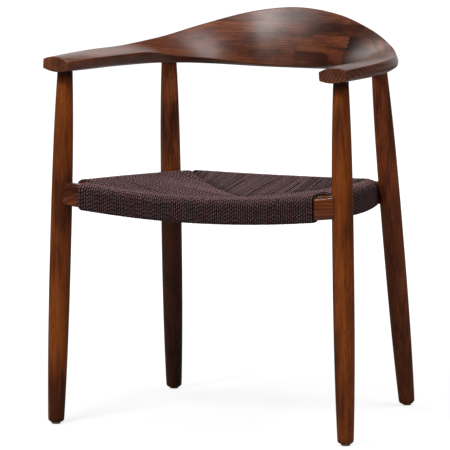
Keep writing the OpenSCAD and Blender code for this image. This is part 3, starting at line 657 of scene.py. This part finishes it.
# a seat rail: round its section from the upper inner corner on, each corner a quarter circle
def barPiece(name, line, places, put):
    middle, top, low, edge = asRows(line(places), places)
    lowR, innerR = seat["lowEdge"], seat["innerEdge"]
    turn = np.linspace(0, math.pi / 2, 8)[:, None]
    corners = [(halfRail - innerR, top - innerR, innerR, 0), (edge - halfRail, top - edge, edge, 1),
               (lowR - halfRail, low + lowR, lowR, 2), (halfRail - lowR, low + lowR, lowR, 3)]
    q = np.concatenate([a + r * np.cos(turn + k * math.pi / 2) + 0 * top for a, _, r, k in corners])
    z = np.concatenate([b + r * np.sin(turn + k * math.pi / 2) + 0 * top for _, b, r, k in corners])
    grid = put(np.broadcast_to(places, q.shape), middle, q, z)
    # the ends are rounded over: rings nearer and nearer the section's middle
    turn = np.linspace(math.pi / 2, 0, 6)[:-1]
    share = np.append([0.02, 0.5], 1 - seat["endRound"] * (1 - np.cos(turn)) / halfRail / 2)
    beyond = np.append([1, 1], np.sin(turn)) * seat["endRound"]
    rounds = []
    for k, other in ((0, 1), (-1, -2)):
        heading = (grid[:, k] - grid[:, other]).mean(0)
        heading /= np.linalg.norm(heading)
        rounds.append(mix(grid[:, k].mean(0), grid[:, k, None], share[:, None]) + heading * beyond[:, None])
    grid = np.concatenate([rounds[0], grid, rounds[1][:, ::-1]], 1)
    along = np.concatenate([places[0] - beyond, places, (places[-1] + beyond)[::-1]])
    across = np.concatenate([q[:, :1] * share, q, (q[:, -1:] * share)[:, ::-1]], 1)
    uv = np.stack([np.broadcast_to(along, across.shape), across], -1).reshape(-1, 2) * millimetre
    return newPiece(name, grid.reshape(-1, 3), gridFaces(*grid.shape[:2], closedRows=True), uv=uv)


# Stained and lacquered wood. tones go from dark to light. heart is the middle of the year rings in metres
# across and up, slope how fast it moves along the grain, between the two places in slant, and ring their
# width. rings, pores, clouds, streaks, patches and flecks say how far each shows. rough and gloss are the
# lacquer's. shaded is what a shade multiplies the tone by: for the rear legs the colour of the seat's
# painted shadow, for the boards a darker tone. shoulder gives the heights between which a painted shadow
# of the arm darkens a leg's top.
boardWood = {"slope": 0.05, "slant": (-9, 9), "ring": 0.0060, "rings": 0.35, "pores": 0.35, "clouds": 0.7,
             "streaks": 0.28, "patches": 0.45, "flecks": 0, "rough": 0.34, "gloss": 0.5,
             "shaded": (0.40, 0.38, 0.42), "shoulder": None}
legWood = {**boardWood, "heart": (0.30, 0.12), "slope": 0.02, "pores": 0.9, "clouds": 0.9, "streaks": 0.5,
           "patches": 0, "flecks": 0.5, "rough": 0.5, "gloss": 0.22, "shoulder": (0.650, 0.662)}
woodKinds = {
    "armLeft": {**boardWood, "tones": ((0.055, 0.014, 0.006), (0.175, 0.045, 0.016), (0.29, 0.083, 0.029)),
                "heart": (0.3, 0.9), "slope": 0.3, "slant": (1.0, 9), "ring": 0.0042, "rings": 0.60},
    "armRight": {**boardWood, "tones": ((0.05, 0.013, 0.006), (0.155, 0.04, 0.015), (0.26, 0.076, 0.027)),
                 "heart": (0.45, 0.4), "slope": -0.35, "slant": (-9, 0.15), "ring": 0.0062, "rings": 0.85},
    "backMiddle": {**boardWood, "tones": ((0.055, 0.015, 0.007), (0.175, 0.045, 0.016), (0.29, 0.083, 0.029)),
                   "heart": (0.1, 0.55), "slope": 0.04, "rings": 0.3, "rough": 0.33},
    "backTop": {**boardWood, "tones": ((0.06, 0.018, 0.009), (0.17, 0.049, 0.021), (0.27, 0.086, 0.034)),
                "heart": (-0.06, 0.6), "ring": 0.0050},
    "rail": {**boardWood, "tones": ((0.05, 0.01, 0.003), (0.17, 0.036, 0.006), (0.28, 0.066, 0.012)),
             "heart": (0.1, 0.3), "slope": 0.3, "ring": 0.0065, "rings": 0.65, "pores": 0.5, "clouds": 0.9,
             "streaks": 0.5, "patches": 0, "rough": 0.2, "gloss": 0.4},
    "leg": {**legWood, "tones": ((0.085, 0.017, 0.002), (0.255, 0.054, 0.005), (0.37, 0.087, 0.008)),
            "rings": 0.25, "pores": 0.6},
    # the rear legs' kinds are copies of the leg wood made lighter: painted light for how each rear leg is lit
    # above the seat, and their shaded colour is the seat's painted shadow below it
    "redLeg": {**legWood, "tones": ((0.08, 0.019, 0.007), (0.26, 0.056, 0.012), (0.43, 0.115, 0.03)),
               "pores": 0.8, "clouds": 0.8, "shaded": (0.7, 0.66, 0.66)},
    "darkLeg": {**legWood, "tones": ((0.085, 0.023, 0.01), (0.4, 0.098, 0.026), (0.56, 0.15, 0.04)),
                "flecks": 0.7, "shaded": (0.2, 0.195, 0.22)},
}

# each noise of the grain: its scale along and across, its detail and its roughness; then what is made of them
woodGrain = {
    "cloud": (6, 24, 4, 0.55), "patch": (32, 90, 3, 0.6), "streak": (8, 260, 3, 0.6), "bend": (3, 12, 2, 0.5),
    "pore": (130, 1500, 1, 0.5), "fleck": (60, 380, 2, 0.5), "stops": (0.34, 0.50, 0.68), "bending": 0.010,
    "lateWood": (0.35, 0.9), "ringEnd": (1.0, 0.94), "poreFrom": (0.60, 0.72), "fleckFrom": (0.58, 0.70),
    # the shoulder values give the arm's painted shadow on a leg's top
    "poreTone": 0.4, "shoulderTone": 0.4, "shoulderDark": 0.9, "jointTone": 0.25, "roughRange": 0.10,
    "streakBump": 0.000016, "poreBump": 0.000012,
}
jointLook = {"wide": 0.0005, "dark": 0.75, "end": 0.001, "fingerEnd": 0.0005, "fingerWide": (2.0, 4.4),
             "lowShows": 0.3}
crown = {"from": 0.738, "bend": 1.7, "half": 0.17, "fade": 0.11}


# glue lines between the boards: two straight ones, and one between the two finger joints, whose zigzag is
# the way up, folded to and fro over one finger's height
def jointLines(make):
    x, _, z = make.xyz()
    glue = [v * millimetre for v in bow["glueLines"]]
    wide, end, fingerEnd = [jointLook[name] for name in ("wide", "end", "fingerEnd")]
    low, high, deep = [bow[name] * millimetre for name in ("lowFingerAt", "fingerAt", "fingerLength")]
    step = (glue[0] - glue[1]) / bow["fingers"] / 2
    between = make.fade(low - end, low, x) * make.fade(high + end, high, x)
    lines = [make.band(z - g, wide * 0.5, wide) for g in glue[:3]]
    most = make.maths("MAXIMUM", make.maths("MAXIMUM", lines[0], lines[1]), lines[2] * between)
    for place, start, shows in ((high, glue[2], 1.0), (low, glue[3], jointLook["lowShows"])):
        zigzag = make.maths("PINGPONG", z - start, step) * (deep / step)
        stop = start + 2 * bow["fingers"] * step
        inside = make.fade(start, start + fingerEnd, z) * make.fade(stop, stop - fingerEnd, z)
        near, far = [wide * times for times in jointLook["fingerWide"]]
        line = make.band(x - place + deep / 2 - zigzag, near, far) * inside * shows
        most = make.maths("MAXIMUM", most, line)
    return most


# the backrest falls back a little below its upper board: the square of the depth below it, times the bend
def crownHeight(make):
    x, _, z = make.xyz()
    below = make.maths("MINIMUM", z - crown["from"], 0.0)
    middle = make.fade(crown["half"], crown["half"] - crown["fade"], make.size(x))
    return below * below * middle * -crown["bend"]


# place has the grain along x, in metres. Year rings: the distance from the heart, bent by noise, over the
# ring's width, whose fraction darkens towards each ring's end. Pores are short dark dashes, flecks longer.
def woodFinish(name, kind, place, seed=0.0, shade=None, joints=False):
    look = woodKinds[kind]
    make = Finish(name)
    raw = place(make)
    place = make.vector("ADD", raw, (seed, 0.31 * seed, 0.17 * seed))
    darkest = look["tones"][0]

    def grain(kind):
        along, across, detail, rough = woodGrain[kind]
        return make.noise(make.vector("MULTIPLY", place, (along, across, across)), 1.0, detail, rough)

    def darker(tone, factor, share=1.0):
        return make.blend(factor, tone, [c * share for c in darkest])

    along, y, z = make.axes(raw)
    slant = make.maths("MINIMUM", make.maths("MAXIMUM", along, look["slant"][0]), look["slant"][1])
    y, z = y - look["heart"][0] + slant * look["slope"], z - look["heart"][1]
    bent = (grain("bend") - 0.5) * woodGrain["bending"]
    ring = make.maths("FRACT", (make.maths("SQRT", y * y + z * z) + bent) / look["ring"])
    late = make.fade(*woodGrain["lateWood"], ring) * make.fade(*woodGrain["ringEnd"], ring)
    streak, pore = grain("streak"), make.fade(*woodGrain["poreFrom"], grain("pore"))
    level = (grain("cloud") - 0.5) * look["clouds"] + (streak - 0.5) * look["streaks"] + 0.5
    if look["patches"]:
        level = level + (grain("patch") - 0.5) * look["patches"]
    stops = list(zip(woodGrain["stops"], look["tones"]))
    tone = make.node("ShaderNodeValToRGB", {"stops": stops}, {"Fac": level})
    tone = darker(tone, late * look["rings"])
    tone = darker(tone, pore * look["pores"], woodGrain["poreTone"])
    if look["flecks"]:
        tone = darker(tone, make.fade(*woodGrain["fleckFrom"], grain("fleck")) * look["flecks"])
    # for the rear legs the seat's painted shadow, for the boards a darker tone where the shade comes up
    if shade:
        tone = make.blend(shade(make), tone, look["shaded"], "MULTIPLY")
    # painted shadow of the arm on a leg's top
    if look["shoulder"]:
        below = make.fade(*look["shoulder"], along) * woodGrain["shoulderDark"]
        tone = darker(tone, below, woodGrain["shoulderTone"])
    height = streak * woodGrain["streakBump"] - pore * woodGrain["poreBump"]
    if joints:
        tone = darker(tone, jointLines(make) * jointLook["dark"], woodGrain["jointTone"])
        height = height + crownHeight(make)
    rough = streak * woodGrain["roughRange"] + (look["rough"] - woodGrain["roughRange"] / 2)
    return make.surface(Base_Color=tone, Roughness=rough, Normal=make.bump(height),
                        Specular_IOR_Level=look["gloss"])


# object coordinates with the upright direction first
def uprightPlace(make):
    x, y, z = make.xyz()
    return make.joined(z, x, y)


# length along a piece and the way across it from the UV map, and the height
def railPlace(make):
    u, v, _ = make.axes(make.uvPlace())
    return make.joined(u, v, make.xyz()[2])


# shades that follow the photograph, each with the places between which it comes up, in metres: the
# seat's painted shadow on the rear legs, a darker tone towards the middle board's right and beside the
# upper finger joint, and painted shade near the rear panel's seams
shades = {"backRight": (0.0, 0.06), "seatShadowHeights": (0.46, 0.40), "seatShadowFacing": (0.6, -0.2),
          "jointFrom": (0.118, 0.124), "jointTo": (0.22, 0.15), "lowBoard": (0.70, 0.68),
          "lowTo": (0.20, 0.14), "lowShare": 0.4, "seamReach": 0.04}


def towardsRight(make):
    return make.fade(*shades["backRight"], make.xyz()[0])


# the seat's painted shadow on the front side of a rear leg below the seat; the y of the object's own normal
# tells front from back
def paintedSeatShadow(make):
    y = make.axes(make.node("ShaderNodeTexCoord", out=1))[1]
    z = make.xyz()[2]
    return make.fade(*shades["seatShadowHeights"], z) * make.fade(*shades["seatShadowFacing"], y)


# on the right board beside the upper finger joint, and where it runs below the backrest's boards
def nextToJoint(make):
    x, _, z = make.xyz()
    beside = make.fade(*shades["jointFrom"], x) * make.fade(*shades["jointTo"], x)
    below = make.fade(*shades["lowBoard"], z) * make.fade(*shades["lowTo"], x) * shades["lowShare"]
    return make.maths("MAXIMUM", beside, below)


# painted shade near the two seams of the rear panel, which are straight seen from above
def paintedSeamShade(make):
    x, y, _ = make.xyz()
    slope = (rearCorner[1] - seamY) / rearCorner[0]
    return make.fade(shades["seamReach"], 0.0, y - (seamY + shiftY) * millimetre - make.size(x) * slope)


plain = {"scale": 300, "detail": 3, "dark": 0.8, "light": 1.15, "roughRange": 0.15}


def plainFinish(name, colour, rough, metal=0.0):
    make = Finish(name)
    cloud = make.noise(make.objectPlace(), plain["scale"], plain["detail"])
    dark, light = [[c * plain[name] for c in colour] for name in ("dark", "light")]
    return make.surface(Base_Color=make.blend(cloud, dark, light), Metallic=metal,
                        Roughness=cloud * plain["roughRange"] + rough)


# lengths are in metres, those along the cord from the crest over the rail, outwards
yarn = {
    # the near-black colour is the painted shade in the gaps between cords, and low and high are the ends of
    # the strands' painted shade and painted highlight. The crest values give a painted highlight over the
    # rail's crest, and the wrap values painted shade on the wrap's outer side.
    "valley": (0.003, 0.0015, 0.0017), "low": (0.017, 0.008, 0.009), "high": (0.35, 0.19, 0.195),
    "twist": 0.014, "slant": 0.4, "worn": (0.3, 80), "lump": (0.9, 170), "fluff": 900,
    "edgePaintedShade": (0.95, 0.1), "crestFrom": (-0.006, 0.004), "crestTo": (0.016, 0.006), "crestPaintedHighlight": 0.5,
    "base": 0.95, "wrapFrom": (0.004, 0.030), "wrapPaintedShade": 0.62, "wrapShadeTone": (0.30, 0.28, 0.29),
    "gap": 0.14, "gapEdge": (0.6, 1.3), "gapInward": (0.0, -0.01), "seamInward": (0.0, -0.004),
    "seamShadeWidth": 0.12, "bump": 0.8, "depth": 0.0008, "rough": 0.6, "gloss": 0.12,
    "wornTwist": 0.5, "lumpLight": 1.8, "wornLight": (0.4, 1.6), "fluffLight": 0.08, "fluffRough": 0.15,
    "fluffBump": 0.25,
}


# two-ply cord on the panels' UV map, which counts cords across and metres along. Its two strands show as
# slanted humps: the sine of the way along over the twist plus the slant across, its size taken. The humps
# and each cord's middle are a painted highlight, and the grooves between them and each cord's edges are
# painted shade. A panel's own brightening of the cord is painted light. Gaps between cords are painted
# shade, wider by chance as far as gaps says, and near a seam.
def cordFinish(name, gaps, pale, seam=None):
    make = Finish(name)
    across, along, _ = make.axes(make.uvPlace())
    number, nearest = make.maths("FLOOR", across), make.maths("FLOOR", across + 0.5)
    share, own = across - number, make.chance(number)
    worn, lump = [make.noise(make.joined(across * a, along * b, own * 0.2), 1.0, detail)
                  for (a, b), detail in ((yarn["worn"], 2), (yarn["lump"], 1))]
    phase = along / yarn["twist"] + share * yarn["slant"] + own + worn * yarn["wornTwist"]
    hump = make.size(make.maths("SINE", phase * (2 * math.pi)))
    fluff = make.noise(make.objectPlace(), yarn["fluff"], 2)
    middle = make.fade(*yarn["edgePaintedShade"], make.size(share - 0.5) * 2)
    fade = lambda name: make.fade(*yarn[name], along)
    # painted highlight where the cord turns over the rail's crest
    crest = fade("crestFrom") * fade("crestTo")
    # painted highlight on the strands' humps and each cord's middle, times the cord's own lumps and wear
    lit = hump * hump * middle * (lump * yarn["lumpLight"]) * mix(*yarn["wornLight"], worn)
    lit = lit * (crest * yarn["crestPaintedHighlight"] + yarn["base"]) * pale + fluff * yarn["fluffLight"]
    tone = make.blend(lit, yarn["low"], yarn["high"])
    # painted shade on the wrap's outer side, from just past the rail's crest on
    tone = make.blend(fade("wrapFrom") * yarn["wrapPaintedShade"], tone, yarn["wrapShadeTone"], "MULTIPLY")
    # painted shade in the gaps between cords, wider by chance and near a seam
    wide = make.chance(nearest + 0.37) * fade("gapInward") * gaps + yarn["gap"]
    # wider painted gap shade near the rear panel's seams
    if seam:
        wide = wide + seam(make) * fade("seamInward") * yarn["seamShadeWidth"]
    gap = 1 - make.fade(*yarn["gapEdge"], make.size(across - nearest) / wide)
    tone = make.blend(gap, tone, yarn["valley"])
    return make.surface(Base_Color=tone, Roughness=fluff * yarn["fluffRough"] + yarn["rough"],
                        Normal=make.bump(hump + fluff * yarn["fluffBump"], yarn["bump"], yarn["depth"]),
                        Specular_IOR_Level=yarn["gloss"])


# boards of the arms and the backrest, each cut out of the whole bow by its outline seen from the front
glue0, glue1, glue2, glue3 = bow["glueLines"]
gap, far = bow["boardGap"], bow["beyond"]
lowFingers = fingers(bow["lowFingerAt"], glue3, glue2)
highFingers = fingers(bow["fingerAt"], glue2, glue1)
besideLow, besideHigh = [[[x + gap, z] for x, z in row] for row in (lowFingers, highFingers)]
boards = {
    "arm_left": ([[-far, 0], [lowFingers[0][0], 0], *lowFingers, *highFingers, [-far, glue1]],
                 woodFinish("armLeftWood", "armLeft", railPlace, 0.9, joints=True)),
    "arm_right": ([[far, 0], [besideLow[0][0], 0], *besideLow[:-1], [besideLow[-1][0] + 2 * gap, glue2 - gap],
                   [besideHigh[0][0], glue2 - gap], *besideHigh, [far, glue1]],
                  woodFinish("armRightWood", "armRight", railPlace, 3.3, nextToJoint, True)),
    "back_board_middle": ([[-far, glue1 + gap], [far, glue1 + gap], [far, glue0], [-far, glue0]],
                          woodFinish("backMiddleWood", "backMiddle", railPlace, 5.1, towardsRight, True)),
    "back_board_top": ([[-far, glue0 + gap], [far, glue0 + gap], [far, far], [-far, far]],
                       woodFinish("backTopWood", "backTop", railPlace, 7.7, joints=True)),
}
for node, (outline, wood) in boards.items():
    slot = "arm_wood" if node.startswith("arm") else "back_wood"
    finished(cutTo(bowPiece(camelName(node)), outline), node, wood, sharp=35)

# the rear legs get the seat's painted shadow on their front below the seat
legWoods = {
    "front_leg_right": woodFinish("legWood1", "leg", uprightPlace, 0.4),
    "rear_leg_right": woodFinish("legWood2", "redLeg", uprightPlace, 2.1, paintedSeatShadow),
    "front_leg_left": woodFinish("legWood3", "leg", uprightPlace, 3.8),
    "rear_leg_left": woodFinish("legWood4", "darkLeg", uprightPlace, 5.5, paintedSeatShadow),
}
for node, wood in legWoods.items():
    finished(legPiece(node), node, wood, sharp=40)

# glides, nails and stuffing cards
cardMaterial = plainFinish("card", (0.35, 0.28, 0.20), 0.8)
glideMaterial = plainFinish("glidePlastic", (0.40, 0.31, 0.19), 0.45)
steel = plainFinish("nailSteel", (0.55, 0.55, 0.56), 0.3, 1.0)
for place in ("front_left", "front_right", "rear_left", "rear_right"):
    for slot, material in (("glide", glideMaterial), ("nail", steel)):
        finished(copyOf(f"{slot}_{place}"), f"{slot}_{place}", material, sharp=40)
for place in ("front", "rear", "left", "right"):
    finished(copyOf(f"card_{place}"), f"card_{place}", cardMaterial, sharp=40)


# puts sections along the front (way 1) or rear (way -1) rail
def acrossChair(way):
    return lambda x, middle, q, z: np.stack([x, middle + way * q, z], -1)


# puts sections along the right (way 1) or left (way -1) rail
def alongChair(way):
    return lambda y, middle, q, z: np.stack([way * (middle - q), y, z], -1)


sideReach, bare = halfRail + wrap, halfRail + cord["gap"]
sideStart = at(frontLine, seat["front"]["spread"] / 2 + sideReach)[0] + bare
sideEnd = at(rearLine, seat["rear"]["spread"] / 2 + sideReach)[0] - bare
sideDrop = at(sideLine, sideStart)[1] - at(frontLine, frontCorner[0] + sideReach)[1]


# a side rail's bare end slopes down to the front rail's top, along half a bell curve
def sideBar(y):
    middle, top, low, edge = sideLine(y)
    drop = sideDrop * np.exp(-(np.maximum(y - sideStart, 0) / seat["side"]["ease"])**2)
    return middle, top - drop, low, edge


railWood = woodFinish("railWood", "rail", railPlace, 2.2)
frontHalf, rearHalf = [legX - seat["endBack"] - seat["endRound"] for legX in (frontLegX, rearLegX)]
sidePlaces = np.linspace(sideStart + seat["sideTrim"], sideEnd - seat["sideTrim"], 120)
bars = {
    "front_rail": (frontLine, np.linspace(-frontHalf, frontHalf, 90), acrossChair(1)),
    "rear_rail": (rearLine, np.linspace(-rearHalf, rearHalf, 90), acrossChair(-1)),
    "side_rail_right": (sideBar, sidePlaces, alongChair(1)),
    "side_rail_left": (sideBar, sidePlaces, alongChair(-1)),
}
for node, (line, places, put) in bars.items():
    finished(barPiece(camelName(node), line, places, put), node, railWood, sharp=50)

# Each panel's slits, how far its cords splay at its start and end, how far its gaps' painted shade opens
# and how far painted light brightens it. A slit has its place along the rail, from where to where it runs,
# measured from the rail's middle, and its width.
weaves = {
    "weave_front": {"slits": [], "splay": (8, 2), "gaps": 0.08, "pale": 1.12},
    "weave_rear": {"slits": [(-60, 40, 160, 2.8), (2, 50, 170, 2.4), (60, 40, 130, 2.6), (92, 15, 78, 2.0),
                             (-100, 20, 90, 1.6)],
                   "splay": (2, 2), "gaps": 0.29, "pale": 1.75},
    "weave_right": {"slits": [(150, 40, 120, 1.2)], "splay": (0, 0), "gaps": 0.12, "pale": 1.35},
    "weave_left": {"slits": [(128, 30, 118, 3.0), (227, 10, 66, 2.2), (60, 40, 100, 2.0)],
                   "splay": (0, 0), "gaps": 0.12, "pale": 1.08},
}
frontEnd, rearEnd = frontCorner[0] + cord["past"], rearCorner[0] + cord["past"]
sideRun = (sideStart + cord["sideStart"], sideEnd - cord["sideEnd"])
runs = {
    "weave_front": (endPanel(frontLine, frontCorner, 1), -frontEnd, frontEnd, acrossChair(1)),
    "weave_rear": (endPanel(rearLine, rearCorner, -1), -rearEnd, rearEnd, acrossChair(-1)),
    "weave_right": (sidePanel, *sideRun, alongChair(1)),
    "weave_left": (sidePanel, *sideRun, alongChair(-1)),
}
for node, weave in weaves.items():
    finish = cordFinish(node.replace("weave_", "cord"), weave["gaps"], weave["pale"],
                        paintedSeamShade if node == "weave_rear" else None)
    finished(panelPiece(camelName(node), *runs[node], weave["slits"], weave["splay"]), node, finish)

# camera at the photograph's angle
view = {"target": (-0.04347, -0.00507, 0.36292), "distance": 8.2, "azimuth": 22.93, "elevation": 7.60,
        "lens": 344.56, "sensor": 36}
turned, raised = math.radians(view["azimuth"]), math.radians(view["elevation"])
ahead = Vector((-math.sin(turned) * math.cos(raised), math.cos(turned) * math.cos(raised), -math.sin(raised)))
camera = newObject("camera", bpy.data.cameras.new("camera"))
camera.data.lens, camera.data.sensor_width = view["lens"], view["sensor"]
camera.data.clip_start, camera.data.clip_end = 0.1, 200
camera.location = Vector(view["target"]) - ahead * view["distance"]
camera.rotation_euler = ahead.to_track_quat("-Z", "Y").to_euler()
scene.camera = camera

# soft light: each lamp's place, size and power in watts, all aimed at the seat
lamps = {"key": ((-0.64, -2.57, 2.95), (1.2, 0.7), 64), "top": ((0.9, 0.16, 3.25), (1.3, 1.3), 34),
         "back": ((-2.9, 2.3, 2.5), (1.7, 1.5), 23), "low": ((-1.1, 4.2, 1.4), (3.6, 2.2), 21)}
for name, (place, size, power) in lamps.items():
    light = bpy.data.lights.new(name, "AREA")
    light.shape, light.size, light.size_y, light.energy = "RECTANGLE", *size, power
    lamp = newObject(name, light)
    lamp.location = place
    lamp.rotation_euler = (Vector((0, 0, 0.4)) - Vector(place)).to_track_quat("-Z", "Y").to_euler()
    lamp.visible_camera = False

# strength of the light all round and of what a glossy surface meets, and the floor: its glow near and
# far, the distances between which that changes, its greys for the camera and for other rays, and its reach
studio = {"world": 0.24, "gloss": 0.05, "floorNear": 0.80, "floorFar": 1.0, "floorFade": (0.5, 2.2),
          "floorSeen": 0.34, "floorMet": 0.40, "floorReach": 60}
reach = studio["floorReach"]
mesh = bpy.data.meshes.new("floor")
corners = [(-reach, -reach, 0), (reach, -reach, 0), (reach, reach, 0), (-reach, reach, 0)]
mesh.from_pydata(corners, [], [(0, 1, 2, 3)])
floor = newObject("floor", mesh)


# one of two shaders, by the kind of ray that meets it
def byRay(make, ray, others, this):
    path = make.node("ShaderNodeLightPath").socket.node
    return make.node("ShaderNodeMixShader", None, {0: Wire(make, path.outputs[ray]), 1: others, 2: this})


def grey(make, value):
    return make.node("ShaderNodeBsdfDiffuse", None, {"Color": (value, value, value, 1)})


# a pale floor that glows more and more away from the chair, up to white
make = Finish("paleFloor")
away = make.node("ShaderNodeVectorMath", {"operation": "LENGTH"}, {0: make.objectPlace()}, out=1)
glow = mix(studio["floorNear"], studio["floorFar"], make.fade(*studio["floorFade"], away))
lit = make.node("ShaderNodeEmission", None, {"Color": (1, 1, 1, 1), "Strength": glow})
seen = make.node("ShaderNodeAddShader", None, {0: grey(make, studio["floorSeen"]), 1: lit})
shader = byRay(make, "Is Camera Ray", grey(make, studio["floorMet"]), seen)
make.node("ShaderNodeOutputMaterial", None, {"Surface": shader})
floor.data.materials.append(make.owner)

make = Finish("studio", "worlds")
around, glossy, white = [make.node("ShaderNodeBackground", None, {"Color": (1, 1, 1, 1), "Strength": s})
                         for s in (studio["world"], studio["gloss"], 1.0)]
shader = byRay(make, "Is Camera Ray", byRay(make, "Is Glossy Ray", around, glossy), white)
make.node("ShaderNodeOutputWorld", None, {"Surface": shader})
scene.world = make.owner
scene.view_settings.view_transform = "Standard"
